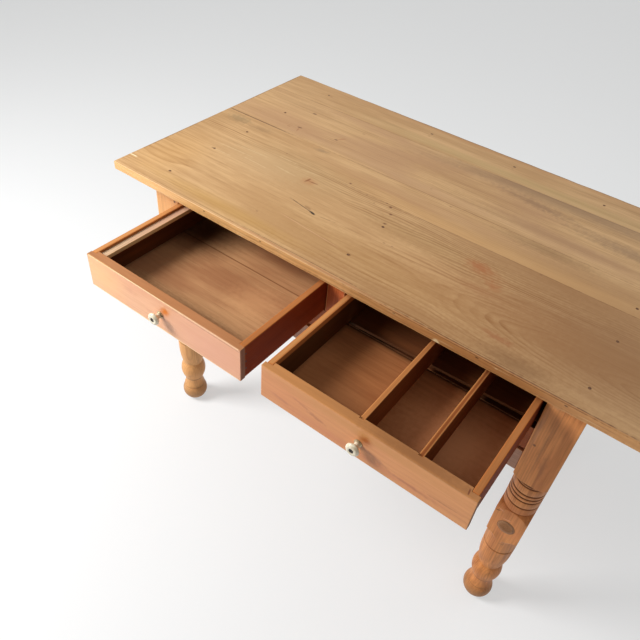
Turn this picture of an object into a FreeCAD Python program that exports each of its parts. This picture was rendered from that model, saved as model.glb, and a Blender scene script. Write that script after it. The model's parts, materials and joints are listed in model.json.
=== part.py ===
import FreeCAD, Part
import os
import re
import Sketcher

# Baker's work table of pine: a three-board top on four turned legs, with two drawers pulled out in front.
# Places below are measured from the top's left end (x), its front edge (y) and the floor (z), in
# millimetres. Every solid is then moved so that the origin lies on the floor, midway between the ends of
# the top and midway between the knobs and the back edge of the top.

os.makedirs("parts", exist_ok=True)
doc = FreeCAD.newDocument("bakers_table")

# Driving sizes
SIZES = [
    # top
    ("top_length", 1214), ("top_thickness", 20), ("table_height", 762),
    ("front_board_width", 382), ("middle_board_width", 191), ("back_board_width", 107), ("board_seam", 0.3),
    # legs
    ("leg_stock", 70), ("leg_end_inset", 97), ("leg_front_inset", 30), ("leg_back_inset", 30),
    ("turned_height", 515),
    # side and back aprons, and the joints of the frame
    ("apron_thickness", 22), ("apron_height", 230), ("apron_setback", 12),
    ("tenon_length", 30), ("tenon_thickness", 10), ("tenon_shoulder", 15), ("joint_clearance", 0.2),
    # front of the frame
    ("rail_thickness", 22), ("rail_setback", 3), ("drawer_rail_height", 60), ("rail_slot", 9),
    ("top_rail_thickness", 20), ("top_rail_depth", 60),
    ("stile_width", 42), ("stile_shift", 3), ("stile_tenon", 14),
    # what the drawers run on and between
    ("runner_thickness", 20), ("runner_ledge", 36), ("runner_housing", 4), ("kicker_ledge", 30),
    ("guide_height", 18), ("guide_clearance", 3), ("running_gap", 0.3),
    # side stretchers
    ("stretcher_height", 338), ("stretcher_diameter", 44), ("stretcher_tenon_diameter", 37),
    ("stretcher_socket", 45), ("stretcher_end_proud", 1.5),
    # drawers
    ("drawer_height", 79), ("drawer_headroom", 25), ("drawer_depth", 540), ("drawer_pulled_out", 255),
    ("left_drawer_post_gap", 9), ("left_drawer_stile_gap", 2), ("left_lip_overhang", 1),
    ("right_drawer_post_gap", 7), ("right_drawer_stile_gap", 9), ("right_lip_overhang", 4),
    ("drawer_front_thickness", 20), ("drawer_lip_thickness", 12), ("drawer_side_thickness", 12),
    ("drawer_back_thickness", 12), ("drawer_back_inset", 10), ("drawer_back_drop", 4),
    ("drawer_bottom_thickness", 7), ("drawer_bottom_raise", 3), ("groove_depth", 5),
    ("bottom_seam_depth", 245), ("left_bottom_seam", 0.6),
    ("right_bottom_gap_left", 9), ("right_bottom_gap_right", 21),
    ("dado_depth", 4),
    ("ledge_width", 17), ("ledge_thickness", 9), ("ledge_drop", 5),
    ("divider_thickness", 9), ("divider_drop", 3),
    # knobs
    ("knob_diameter", 26), ("knob_projection", 21),
    ("collar_diameter", 16), ("collar_thickness", 3.5), ("collar_top_diameter", 12),
    ("screw_diameter", 3.6), ("screw_head_diameter", 7.6), ("screw_head_thickness", 2.2),
    ("screw_grip", 16), ("screw_slot_width", 0.9), ("screw_slot_depth", 0.9),
    # nails
    ("nail_diameter", 2.8), ("nail_head_diameter", 6), ("nail_head_thickness", 1.4), ("nail_length", 36),
    ("brad_diameter", 2), ("brad_head_diameter", 4), ("brad_head_thickness", 1), ("brad_length", 28),
    ("hole_clearance", 0.1),
    # one overrun for every cut that passes out of a face
    ("cut_overrun", 2),
]

# Places that follow from the sizes
PLACES = [
    ("origin_x", "top_length / 2"),
    ("under_top", "table_height - top_thickness"),
    ("seam_front", "front_board_width"),
    ("seam_back", "front_board_width + middle_board_width"),
    ("top_depth", "seam_back + back_board_width"),
    ("leg_left_in", "leg_end_inset + leg_stock"),
    ("leg_right_in", "top_length - leg_end_inset - leg_stock"),
    ("leg_front_in", "leg_front_inset + leg_stock"),
    ("leg_back_in", "top_depth - leg_back_inset - leg_stock"),
    ("leg_left_axis", "leg_end_inset + leg_stock / 2"),
    ("leg_right_axis", "top_length - leg_end_inset - leg_stock / 2"),
    ("apron_bottom", "under_top - apron_height"),
    ("apron_left_x", "leg_end_inset + apron_setback"),
    ("apron_left_in", "apron_left_x + apron_thickness"),
    ("apron_right_out", "top_length - apron_left_x"),
    ("apron_right_x", "apron_right_out - apron_thickness"),
    ("apron_back_out", "top_depth - leg_back_inset - apron_setback"),
    ("apron_back_y", "apron_back_out - apron_thickness"),
    ("rail_y", "leg_front_inset + rail_setback"),
    ("rail_in", "rail_y + rail_thickness"),
    ("top_rail_bottom", "under_top - top_rail_thickness"),
    ("top_rail_in", "rail_y + top_rail_depth"),
    ("drawer_top", "under_top - drawer_headroom"),
    ("drawer_bottom", "drawer_top - drawer_height"),
    ("drawer_middle", "drawer_bottom + drawer_height / 2"),
    ("runner_top", "drawer_bottom - running_gap"),
    ("runner_bottom", "runner_top - runner_thickness"),
    ("drawer_rail_bottom", "runner_top - drawer_rail_height"),
    ("front_apron_top", "drawer_rail_bottom - rail_slot"),
    ("stile_left", "top_length / 2 - stile_shift - stile_width / 2"),
    ("stile_right", "stile_left + stile_width"),
    ("left_box_left", "leg_left_in + left_drawer_post_gap"),
    ("left_box_right", "stile_left - left_drawer_stile_gap"),
    ("right_box_left", "stile_right + right_drawer_stile_gap"),
    ("right_box_right", "leg_right_in - right_drawer_post_gap"),
    ("drawer_face", "rail_y - drawer_pulled_out"),
    ("drawer_lip_y", "drawer_face + drawer_lip_thickness"),
    ("drawer_inner_y", "drawer_face + drawer_front_thickness"),
    ("drawer_end_y", "drawer_face + drawer_depth"),
    ("back_out", "drawer_end_y - drawer_back_inset"),
    ("back_y", "back_out - drawer_back_thickness"),
    ("bottom_under", "drawer_bottom + drawer_bottom_raise"),
    ("bottom_top", "bottom_under + drawer_bottom_thickness"),
    ("bottom_seam_y", "drawer_face + bottom_seam_depth"),
    ("knob_front", "drawer_face - knob_projection"),
    ("origin_y", "(top_depth + knob_front) / 2"),
]

sizes = doc.addObject("Spreadsheet::Sheet", "Sizes")
places = doc.addObject("Spreadsheet::Sheet", "Places")
SIZE_NAMES = {name for name, _ in SIZES}
PLACE_NAMES = {name for name, _ in PLACES}


def linked(text, inside_places=False):
    """Turn the plain names in a formula into references to the two sheets."""
    def refer(match):
        word = match.group(0)
        if word in SIZE_NAMES:
            return "Sizes." + word
        if word in PLACE_NAMES and not inside_places:
            return "Places." + word
        return word
    return re.sub(r"[a-z][a-z_]*", refer, text)


for row, (name, number) in enumerate(SIZES, start=1):
    sizes.set(f"A{row}", name)
    sizes.set(f"B{row}", str(number))
    sizes.setAlias(f"B{row}", name)
doc.recompute()
for row, (name, formula) in enumerate(PLACES, start=1):
    places.set(f"A{row}", name)
    places.set(f"B{row}", "=" + linked(formula, inside_places=True))
    places.setAlias(f"B{row}", name)
doc.recompute()


def value(formula):
    """The number that a formula stands for at the present sizes."""
    return float(sizes.evalExpression(linked(formula)))


def point(x, y, z):
    """A vector from three formulas in table places, moved to the part's own origin."""
    return FreeCAD.Vector(value(x) - value("origin_x"), value(y) - value("origin_y"), value(z))


# Building blocks
made = {}


def bind(item, target, formula):
    item.setExpression(target, linked(formula))


def put(item, x, y, z):
    """Bind an item's place to formulas in table places."""
    bind(item, "Placement.Base.x", f"({x}) - origin_x")
    bind(item, "Placement.Base.y", f"({y}) - origin_y")
    bind(item, "Placement.Base.z", z)


def box(name, x, y, z, grow="0"):
    """A box over three spans, each a pair of formulas, grown on every side where it is a cavity."""
    item = doc.addObject("Part::Box", name)
    for target, (low, high) in zip(("Length", "Width", "Height"), (x, y, z)):
        bind(item, target, f"({high}) - ({low}) + 2 * {grow}")
    put(item, f"{x[0]} - {grow}", f"{y[0]} - {grow}", f"{z[0]} - {grow}")
    return item


TURNS = {
    "z": FreeCAD.Rotation(),
    "y": FreeCAD.Rotation(FreeCAD.Vector(1, 0, 0), -90),
    "-y": FreeCAD.Rotation(FreeCAD.Vector(1, 0, 0), 90),
}


def rod(name, axis, diameter, length, x, y, z):
    """A cylinder that starts at a place and runs along the named axis."""
    item = doc.addObject("Part::Cylinder", name)
    item.Placement = FreeCAD.Placement(FreeCAD.Vector(), TURNS[axis])
    bind(item, "Radius", f"({diameter}) / 2")
    bind(item, "Height", length)
    put(item, x, y, z)
    return item


def fuse(name, items):
    item = doc.addObject("Part::MultiFuse", name)
    item.Shapes = items
    item.Refine = True
    return item


def cut(name, base, tools):
    """The base less every tool."""
    item = doc.addObject("Part::Cut", name)
    item.Base = base
    item.Tool = tools[0] if len(tools) == 1 else fuse(name + "_cavities", tools)
    item.Refine = True
    return item


def keep(label, item):
    """Name a finished sub-part."""
    item.Label = label
    made[label] = item
    return item


def tenoned(name, x, y, z, tenons):
    """A board with its tenons, and the mortises that take them."""
    board = box(name + "_board", x, y, z)
    tongues = [box(f"{name}_tenon_{i}", *spans) for i, spans in enumerate(tenons)]
    mortises = [box(f"{name}_mortise_{i}", *spans, grow="joint_clearance") for i, spans in enumerate(tenons)]
    return fuse(name + "_tenoned", [board] + tongues), mortises


def outline(name, steps):
    """A closed half section for turning: x is the radius and y the height, every corner bound.

    A step is (radius, height) for a straight run or (radius, height, middle radius, middle height) for
    an arc through that middle.
    """
    sketch = doc.addObject("Sketcher::SketchObject", name)
    sketch.Placement = FreeCAD.Placement(FreeCAD.Vector(), FreeCAD.Rotation(FreeCAD.Vector(1, 0, 0), 90))

    def vector(radius, height):
        return FreeCAD.Vector(value(radius), value(height), 0)

    def hold(geometry, corner, radius, height):
        for kind, axis, formula in (("DistanceX", -2, radius), ("DistanceY", -1, height)):
            if formula == "0":
                sketch.addConstraint(Sketcher.Constraint("PointOnObject", geometry, corner, axis))
                continue
            number = sketch.addConstraint(
                Sketcher.Constraint(kind, -1, 1, geometry, corner, value(formula)))
            label = f"at_{number}"
            sketch.renameConstraint(number, label)
            sketch.setExpression("Constraints." + label, linked(formula))

    ends = []
    for step, after in zip(steps, steps[1:] + steps[:1]):
        start, end = vector(*step[:2]), vector(*after[:2])
        if len(after) == 4:
            curve = Part.Arc(start, vector(*after[2:]), end)
        else:
            curve = Part.LineSegment(start, end)
        number = sketch.addGeometry(curve, False)
        # a sketch calls a line's or an arc's start 1 and its end 2, and may turn an arc round
        to_first, to_second = (sketch.getPoint(number, end).distanceToPoint(start) for end in (1, 2))
        turned = to_second < to_first
        ends.append((number, 2, 1) if turned else (number, 1, 2))
        if len(after) == 4:
            middle = sketch.addGeometry(Part.Point(vector(*after[2:])), True)
            hold(middle, 1, *after[2:])
            sketch.addConstraint(Sketcher.Constraint("PointOnObject", middle, 1, number))
    for (number, first, _), step in zip(ends, steps):
        hold(number, first, *step[:2])
    for (number, _, last), (follower, first, _) in zip(ends, ends[1:] + ends[:1]):
        sketch.addConstraint(Sketcher.Constraint("Coincident", number, last, follower, first))
    return sketch


def turning(name, steps):
    """A solid of revolution about its own z axis."""
    item = doc.addObject("Part::Revolution", name)
    item.Source = outline(name + "_outline", steps)
    item.Axis = FreeCAD.Vector(0, 0, 1)
    item.Base = FreeCAD.Vector()
    item.Angle = 360
    item.Solid = True
    return item


def nails(name, seats, kind, shrink="0"):
    """Loose nails as one group, or with a clearance their holes: each seat is (place, direction, length)."""
    group = doc.addObject("Part::Feature", name)
    spare = value(shrink)
    solids = []
    for place, direction, length in seats:
        away = FreeCAD.Vector(*direction)
        head_radius = value(kind + "_head_diameter") / 2
        head_deep = value(kind + "_head_thickness")
        start = point(*place)
        head = Part.makeCylinder(head_radius + spare, head_deep + spare, start, away)
        shank = Part.makeCylinder(value(kind + "_diameter") / 2 + spare, value(length) + spare, start, away)
        solid = head.fuse(shank).removeSplitter()
        if spare:
            lead = Part.makeCylinder(head_radius + spare, value("cut_overrun"), start, -away)
            solid = solid.fuse(lead).removeSplitter()
        solids.append(solid)
    group.Shape = Part.makeCompound(solids)
    return group


# Frame: aprons and front rails, each with tenons into the posts
left_tongue = ("leg_left_in - tenon_length", "leg_left_in")
right_tongue = ("leg_right_in", "leg_right_in + tenon_length")
between_posts = ("leg_left_in", "leg_right_in")
front_tongue = ("leg_front_in - tenon_length", "leg_front_in")
back_tongue = ("leg_back_in", "leg_back_in + tenon_length")


def middle_third(low, thickness):
    """The span of a tenon centred in a board's thickness."""
    return (f"{low} + ({thickness} - tenon_thickness) / 2", f"{low} + ({thickness} + tenon_thickness) / 2")


def shouldered(low, high):
    return (f"{low} + tenon_shoulder", f"{high} - tenon_shoulder")


def side_apron(name, x_low, x_high):
    tenon_x = middle_third(x_low, "apron_thickness")
    tenon_z = shouldered("apron_bottom", "under_top")
    return tenoned(name, (x_low, x_high), ("leg_front_in", "leg_back_in"), ("apron_bottom", "under_top"),
                   [(tenon_x, front_tongue, tenon_z), (tenon_x, back_tongue, tenon_z)])


def long_rail(name, y_low, thickness, z_low, z_high):
    tenon_y = middle_third(y_low, thickness)
    tenon_z = shouldered(z_low, z_high)
    return tenoned(name, between_posts, (y_low, f"{y_low} + {thickness}"), (z_low, z_high),
                   [(left_tongue, tenon_y, tenon_z), (right_tongue, tenon_y, tenon_z)])


apron_left, left_mortises = side_apron("apron_left", "apron_left_x", "apron_left_in")
apron_right, right_mortises = side_apron("apron_right", "apron_right_x", "apron_right_out")
apron_back, back_mortises = long_rail(
    "apron_back", "apron_back_y", "apron_thickness", "apron_bottom", "under_top")
drawer_rail, drawer_rail_mortises = long_rail(
    "front_drawer_rail", "rail_y", "rail_thickness", "drawer_rail_bottom", "runner_top")
front_apron, front_apron_mortises = long_rail(
    "front_apron_board", "rail_y", "rail_thickness", "apron_bottom", "front_apron_top")
top_rail_tenon_y = ("rail_y + tenon_shoulder", "top_rail_in - tenon_shoulder")
top_rail_tenon_z = middle_third("top_rail_bottom", "top_rail_thickness")
top_rail, top_rail_mortises = tenoned(
    "front_top_rail", between_posts, ("rail_y", "top_rail_in"), ("top_rail_bottom", "under_top"),
    [(left_tongue, top_rail_tenon_y, top_rail_tenon_z), (right_tongue, top_rail_tenon_y, top_rail_tenon_z)])

# Stile between the drawers, tenoned into the rails above and below it
stile_tenon_x = ("stile_left + tenon_thickness", "stile_right - tenon_thickness")
stile_tenon_y = middle_third("rail_y", "rail_thickness")
stile, stile_mortises = tenoned(
    "centre_stile", ("stile_left", "stile_right"), ("rail_y", "rail_in"), ("runner_top", "top_rail_bottom"),
    [(stile_tenon_x, stile_tenon_y, ("runner_top - stile_tenon", "runner_top")),
     (stile_tenon_x, stile_tenon_y, ("top_rail_bottom", "top_rail_bottom + stile_tenon"))])
keep("centre_stile", stile)

# Runners under the drawers: housed in the drawer rail and the back apron
runner_z = ("runner_bottom", "runner_top")
runner_y = ("rail_in - runner_housing", "apron_back_y + runner_housing")
middle_x = ("stile_left - runner_ledge / 2", "right_box_left + runner_ledge / 2")
runner_spans = {
    "left": ("apron_left_in", "leg_left_in + runner_ledge"),
    "centre": middle_x,
    "right": ("leg_right_in - runner_ledge", "apron_right_x"),
}
post_notches = {
    "left": ("apron_left_in - cut_overrun", "leg_left_in + joint_clearance"),
    "right": ("leg_right_in - joint_clearance", "apron_right_x + cut_overrun"),
}
front_notch_y = ("rail_y", "leg_front_in + joint_clearance")
back_notch_y = ("leg_back_in - joint_clearance", "apron_back_out")
runner_housings = []
for side, spans in runner_spans.items():
    blank = box(f"runner_{side}_board", spans, runner_y, runner_z)
    if side == "centre":
        keep("runner_centre", blank)
        housing_x = spans
    else:
        notch_z = ("runner_bottom - cut_overrun", "runner_top + cut_overrun")
        notches = [box(f"runner_{side}_notch_front", post_notches[side], front_notch_y, notch_z),
                   box(f"runner_{side}_notch_back", post_notches[side], back_notch_y, notch_z)]
        keep(f"runner_{side}", cut(f"runner_{side}_notched", blank, notches))
        housing_x = ("leg_left_in", spans[1]) if side == "left" else (spans[0], "leg_right_in")
    runner_housings.append(
        box(f"runner_{side}_housing", housing_x, runner_y, runner_z, grow="joint_clearance"))

# Guides that keep the drawers straight, on top of the runners
guide_z = ("runner_top", "runner_top + guide_height")
between_side_posts = ("leg_front_in + joint_clearance", "leg_back_in - joint_clearance")
keep("guide_left", box("guide_left_strip", ("apron_left_in", "left_box_left - guide_clearance"),
                       between_side_posts, guide_z))
keep("guide_centre", box("guide_centre_strip",
                         ("left_box_right + guide_clearance", "right_box_left - guide_clearance"),
                         ("rail_in", "apron_back_y"), guide_z))
keep("guide_right", box("guide_right_strip", ("right_box_right + guide_clearance", "apron_right_x"),
                        between_side_posts, guide_z))

# Kickers under the top, which stop an open drawer from tipping
kicker_z = ("top_rail_bottom", "under_top")
kicker_y = ("top_rail_in", "apron_back_y")
kicker_spans = {
    "left": ("leg_left_in + joint_clearance", "leg_left_in + kicker_ledge"),
    "centre": middle_x,
    "right": ("leg_right_in - kicker_ledge", "leg_right_in - joint_clearance"),
}
kickers = {}
for side, spans in kicker_spans.items():
    kickers[side] = box(f"kicker_{side}_strip", spans, kicker_y, kicker_z)

# Nails through the top: rows from front to back in shares of each board's width, and a row along the back
# in shares of the top's length
boards = (("0", "front_board_width"), ("seam_front", "middle_board_width"), ("seam_back", "back_board_width"))
side_nail_shares = ((0.149, 0.521, 0.822), (0.424,), (0.505,))
centre_nail_shares = ((0.207, 0.537, 0.733), (0.136, 0.848), ())
back_nail_shares = (0.38, 0.572, 0.76)
down = (0, 0, -1)
side_nail_rows = ("apron_left_x + apron_thickness / 2", "apron_right_x + apron_thickness / 2")
centre_nail_row = "stile_left + stile_width / 4"


def nail_row(row_x, board_shares):
    """Seats of one row of nails from front to back."""
    seats = []
    for (low, width), shares in zip(boards, board_shares):
        for share in shares:
            seats.append(((row_x, f"{low} + {width} * {share}", "table_height"), down, "nail_length"))
    return seats


top_seats = nail_row(centre_nail_row, centre_nail_shares)
for row_x in side_nail_rows:
    top_seats += nail_row(row_x, side_nail_shares)
for share in back_nail_shares:
    top_seats.append(((f"top_length * {share}", "apron_back_y + apron_thickness / 2", "table_height"),
                      down, "nail_length"))
keep("top_nails", nails("top_nail_group", top_seats, "nail"))
top_holes = nails("top_nail_holes", top_seats, "nail", shrink="hole_clearance")

# Top: three boards side by side
top_x = ("0", "top_length")
top_z = ("under_top", "table_height")
for label, y_span in (
        ("top_front_board", ("0", "seam_front - board_seam / 2")),
        ("top_middle_board", ("seam_front + board_seam / 2", "seam_back - board_seam / 2")),
        ("top_back_board", ("seam_back + board_seam / 2", "top_depth"))):
    keep(label, cut(label + "_nailed", box(label + "_blank", top_x, y_span, top_z), [top_holes]))

keep("apron_left", cut("apron_left_nailed", apron_left, [top_holes]))
keep("apron_right", cut("apron_right_nailed", apron_right, [top_holes]))
keep("apron_back", cut("apron_back_nailed", apron_back, [top_holes] + runner_housings))
keep("front_drawer_rail", cut("drawer_rail_housed", drawer_rail, runner_housings + stile_mortises[:1]))
keep("front_apron_board", front_apron)
keep("front_top_rail", cut("top_rail_mortised", top_rail, stile_mortises[1:] + [top_holes]))
keep("kicker_centre", cut("kicker_centre_nailed", kickers["centre"], [top_holes]))
keep("kicker_left", kickers["left"])
keep("kicker_right", kickers["right"])

# Side stretchers: round rungs whose tenons pass through the front legs and stop inside the back legs
stretcher_z = "stretcher_height"
stretcher_sockets = {}
for side, axis_x in (("left", "leg_left_axis"), ("right", "leg_right_axis")):
    start_y = "leg_front_inset - stretcher_end_proud"
    reach = "leg_back_in + stretcher_socket - joint_clearance"
    tenon = rod(f"stretcher_{side}_tenon", "y", "stretcher_tenon_diameter", f"{reach} - ({start_y})",
                axis_x, start_y, stretcher_z)
    rung = rod(f"stretcher_{side}_rung", "y", "stretcher_diameter",
               "leg_back_in - leg_front_in - 2 * joint_clearance",
               axis_x, "leg_front_in + joint_clearance", stretcher_z)
    keep(f"stretcher_{side}", fuse(f"stretcher_{side}_turned", [tenon, rung]))
    stretcher_sockets[side] = {
        "front": rod(f"socket_{side}_front", "y", "stretcher_tenon_diameter + 2 * joint_clearance",
                     "leg_stock + 2 * cut_overrun", axis_x, "leg_front_inset - cut_overrun", stretcher_z),
        "back": rod(f"socket_{side}_back", "y", "stretcher_tenon_diameter + 2 * joint_clearance",
                    "stretcher_socket + cut_overrun", axis_x, "leg_back_in - cut_overrun", stretcher_z),
    }

def share_steps(table, radius, height):
    """Corners and arcs of an outline, from shares of a radius and of a height."""
    steps = []
    for shares in table:
        formulas = []
        for radius_share, height_share in zip(shares[::2], shares[1::2]):
            formulas.append(f"{radius} * {radius_share}")
            formulas.append(f"{height} * {height_share:.4f}" if height_share else "0")
        steps.append(tuple(formulas))
    return steps


# Turned leg: radii as shares of half the stock, heights as shares of the turned height
half = "leg_stock / 2"
groove_shares = (0.812, 0.854, 0.876, 0.898, 0.944)
groove_half_share = 0.004
groove_floor_share = 0.94
corner_share = 1.43
turning_shares = [
    # flat under the foot, ball, crease and flared collar
    (0.4, 0), (0.831, 0.097, 0.986, 0.061), (0.78, 0.103), (0.829, 0.109), (0.7, 0.161, 0.725, 0.135),
    # bulb
    (0.743, 0.175), (0.757, 0.291, 0.971, 0.233),
    # vase and its groove
    (0.986, 0.417, 0.923, 0.35), (1, 0.458), (0.937, 0.463), (1, 0.468), (1, 0.544),
    # square block between two turned shoulders
    (corner_share, 0.586, 1.143, 0.569), (corner_share, 0.726), (0.93, 0.767, 1.14, 0.756), (1, 0.771),
]
for share in groove_shares:
    turning_shares.append((1, share - groove_half_share))
    turning_shares.append((groove_floor_share, share))
    turning_shares.append((1, share + groove_half_share))
turning_shares.append((corner_share, 0.998, 1.27, 0.962))

leg_steps = [("0", "0")] + share_steps(turning_shares, half, "turned_height")
leg_steps += [(f"{half} * {corner_share}", "under_top"), ("0", "under_top")]
leg_turning = turning("leg_turning", leg_steps)
leg_post = doc.addObject("Part::Box", "leg_post")
bind(leg_post, "Length", "leg_stock")
bind(leg_post, "Width", "leg_stock")
bind(leg_post, "Height", "under_top")
bind(leg_post, "Placement.Base.x", f"-{half}")
bind(leg_post, "Placement.Base.y", f"-{half}")


def leg(label, axis_x, axis_y, cavities):
    blank = doc.addObject("Part::Common", label + "_blank")
    blank.Base = leg_post
    blank.Tool = leg_turning
    put(blank, axis_x, axis_y, "0")
    return keep(label, cut(label + "_mortised", blank, cavities))


front_axis_y = f"leg_front_inset + {half}"
back_axis_y = f"top_depth - leg_back_inset - {half}"
front_mortise_pairs = (drawer_rail_mortises, front_apron_mortises, top_rail_mortises)
for side, hand, apron_mortises in (("left", 0, left_mortises), ("right", 1, right_mortises)):
    sockets = stretcher_sockets[side]
    front_mortises = [pair[hand] for pair in front_mortise_pairs]
    leg(f"leg_front_{side}", f"leg_{side}_axis", front_axis_y,
        front_mortises + [apron_mortises[0], sockets["front"], top_holes])
    leg(f"leg_back_{side}", f"leg_{side}_axis", back_axis_y,
        [back_mortises[hand], apron_mortises[1], sockets["back"], top_holes])

# Knob on its collar, both turned about the screw: shares of the knob's radius and of its projection
bore = "screw_diameter / 2 + hole_clearance"
head_bore = "screw_head_diameter / 2 + hole_clearance"
head_seat = "knob_projection - screw_head_thickness"
knob_shares = [
    # neck, underside of the disc and its domed face
    (0.423, 0.42, 0.482, 0.27), (1, 0.74, 0.7, 0.54), (0.6, 1, 0.91, 0.92),
]
collar_edge_share = 0.4
collar_round_shares = (0.9, 0.85)
knob_steps = [(bore, "collar_thickness"), ("collar_top_diameter / 2", "collar_thickness")]
knob_steps += share_steps(knob_shares, "knob_diameter / 2", "knob_projection")
knob_steps += [(head_bore, "knob_projection"), (head_bore, head_seat), (bore, head_seat)]
collar_steps = [
    (bore, "0"), ("collar_diameter / 2", "0"),
    ("collar_diameter / 2", f"collar_thickness * {collar_edge_share}"),
    ("collar_top_diameter / 2 + hole_clearance", "collar_thickness",
     f"collar_diameter / 2 * {collar_round_shares[0]}", f"collar_thickness * {collar_round_shares[1]}"),
    (bore, "collar_thickness"),
]


# Drawers: one maker for both, with what only one of them has added after it
def drawer(side, extra_front=(), extra_back=()):
    """Box, bottom grooves and knob of one drawer; extra cavities are the dados of its dividers."""
    name = side + "_drawer"
    left, right, overhang = f"{side}_box_left", f"{side}_box_right", f"{side}_lip_overhang"
    inside = (f"{left} + drawer_side_thickness", f"{right} - drawer_side_thickness")
    full_z = ("drawer_bottom", "drawer_top")
    over_z = ("drawer_bottom - cut_overrun", "drawer_top + cut_overrun")
    groove_z = ("bottom_under - joint_clearance", "bottom_top + joint_clearance")
    wide_groove = (f"{inside[0]} - groove_depth", f"{inside[1]} + groove_depth")
    middle_x = f"({left} + {right}) / 2"

    # brads through the sides into the front and the back
    rabbet_y = "(drawer_lip_y + drawer_inner_y) / 2"
    back_middle_y = "back_y + drawer_back_thickness / 2"
    rabbet_brad_shares, back_brad_shares = (0.28, 0.5, 0.75), (0.35, 0.75)
    seats = []
    for place_x, direction in ((left, (1, 0, 0)), (right, (-1, 0, 0))):
        for place_y, shares in ((rabbet_y, rabbet_brad_shares), (back_middle_y, back_brad_shares)):
            for share in shares:
                place_z = f"drawer_bottom + drawer_height * {share}"
                seats.append(((place_x, place_y, place_z), direction, "brad_length"))
    keep(name + "_nails", nails(name + "_brads", seats, "brad"))
    holes = nails(name + "_brad_holes", seats, "brad", shrink="hole_clearance")

    front = box(name + "_front_blank", (f"{left} - {overhang}", f"{right} + {overhang}"),
                ("drawer_face", "drawer_inner_y"), full_z)
    rabbet_span_y = ("drawer_lip_y", "drawer_inner_y + cut_overrun")
    rabbet_left_x = (f"{left} - {overhang} - cut_overrun", inside[0])
    rabbet_right_x = (inside[1], f"{right} + {overhang} + cut_overrun")
    rabbets = [box(name + "_rabbet_left", rabbet_left_x, rabbet_span_y, over_z),
               box(name + "_rabbet_right", rabbet_right_x, rabbet_span_y, over_z)]
    front_groove = box(name + "_front_groove", inside,
                       ("drawer_inner_y - groove_depth", "drawer_inner_y + cut_overrun"), groove_z)
    pilot = rod(name + "_pilot", "y", "screw_diameter + 2 * hole_clearance",
                "screw_grip + hole_clearance + cut_overrun",
                middle_x, "drawer_face - cut_overrun", "drawer_middle")
    keep(name + "_front", cut(name + "_front_worked", front,
                              rabbets + [front_groove, pilot, holes] + list(extra_front)))

    side_groove = box(name + "_side_grooves", wide_groove,
                      ("drawer_lip_y - cut_overrun", "drawer_end_y + cut_overrun"), groove_z)
    back_housing_z = ("bottom_top", "drawer_top + cut_overrun")
    back_housing = box(name + "_back_housing", (f"{inside[0]} - dado_depth", f"{inside[1]} + dado_depth"),
                       ("back_y - joint_clearance", "back_out + joint_clearance"), back_housing_z)
    for hand, span in (("left", (left, inside[0])), ("right", (inside[1], right))):
        blank = box(f"{name}_{hand}_side_blank", span, ("drawer_lip_y", "drawer_end_y"), full_z)
        worked = cut(f"{name}_{hand}_side_worked", blank, [side_groove, back_housing, holes])
        keep(f"{name}_{hand}_side", worked)

    back_x = (f"{inside[0]} - dado_depth + joint_clearance", f"{inside[1]} + dado_depth - joint_clearance")
    back = box(name + "_back_blank", back_x, ("back_y", "back_out"),
               ("bottom_top + joint_clearance", "drawer_top - drawer_back_drop"))
    keep(name + "_back", cut(name + "_back_worked", back, [holes] + list(extra_back)))

    bottom_x = (f"{wide_groove[0]} + joint_clearance", f"{wide_groove[1]} - joint_clearance")
    keep(name + "_bottom_front", box(name + "_bottom_front_board", bottom_x,
                                     ("drawer_inner_y - groove_depth + joint_clearance", "bottom_seam_y"),
                                     ("bottom_under", "bottom_top")))

    knob = turning(name + "_knob_turned", knob_steps)
    collar = turning(name + "_collar_turned", collar_steps)
    for label, item in ((name + "_knob", knob), (name + "_knob_collar", collar)):
        item.Placement = FreeCAD.Placement(FreeCAD.Vector(), TURNS["-y"])
        put(item, middle_x, "drawer_face", "drawer_middle")
        keep(label, item)
    shank = rod(name + "_screw_shank", "y", "screw_diameter", f"{head_seat} + screw_grip",
                middle_x, f"drawer_face - ({head_seat})", "drawer_middle")
    head = rod(name + "_screw_head", "y", "screw_head_diameter", "screw_head_thickness",
               middle_x, "knob_front", "drawer_middle")
    slot = box(name + "_screw_slot",
               (f"{middle_x} - screw_slot_width / 2", f"{middle_x} + screw_slot_width / 2"),
               ("knob_front - cut_overrun", "knob_front + screw_slot_depth"),
               ("drawer_middle - screw_head_diameter", "drawer_middle + screw_head_diameter"))
    screw = fuse(name + "_screw_whole", [shank, head])
    keep(name + "_knob_screw", cut(name + "_screw_slotted", screw, [slot]))
    return inside, bottom_x


left_inside, left_bottom_x = drawer("left")
keep("left_drawer_bottom_back", box("left_bottom_back_board", left_bottom_x,
                                    ("bottom_seam_y + left_bottom_seam", "drawer_end_y"),
                                    ("bottom_under", "bottom_top")))
keep("left_drawer_ledge", box("left_ledge_strip", (left_inside[0], f"{left_inside[0]} + ledge_width"),
                              ("drawer_inner_y", "back_y"),
                              ("drawer_top - ledge_drop - ledge_thickness", "drawer_top - ledge_drop")))

# Two dividers in the right drawer, let into its front and back
divider_shares = {"left": 0.474, "right": 0.762}
divider_z = ("bottom_top", "drawer_top - divider_drop")
divider_y = ("drawer_inner_y - dado_depth", "back_y + dado_depth")
inside_low = "right_box_left + drawer_side_thickness"
inside_width = "(right_box_right - right_box_left - 2 * drawer_side_thickness)"
dados = []
for hand, share in divider_shares.items():
    centre = f"{inside_low} + {inside_width} * {share}"
    span = (f"{centre} - divider_thickness / 2", f"{centre} + divider_thickness / 2")
    keep(f"right_drawer_{hand}_divider", box(f"divider_{hand}_board", span, divider_y, divider_z))
    dados.append(box(f"divider_{hand}_dado", span, divider_y, ("bottom_top", "drawer_top + cut_overrun"),
                     grow="joint_clearance"))
right_inside, right_bottom_x = drawer("right", extra_front=dados, extra_back=dados)

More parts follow.
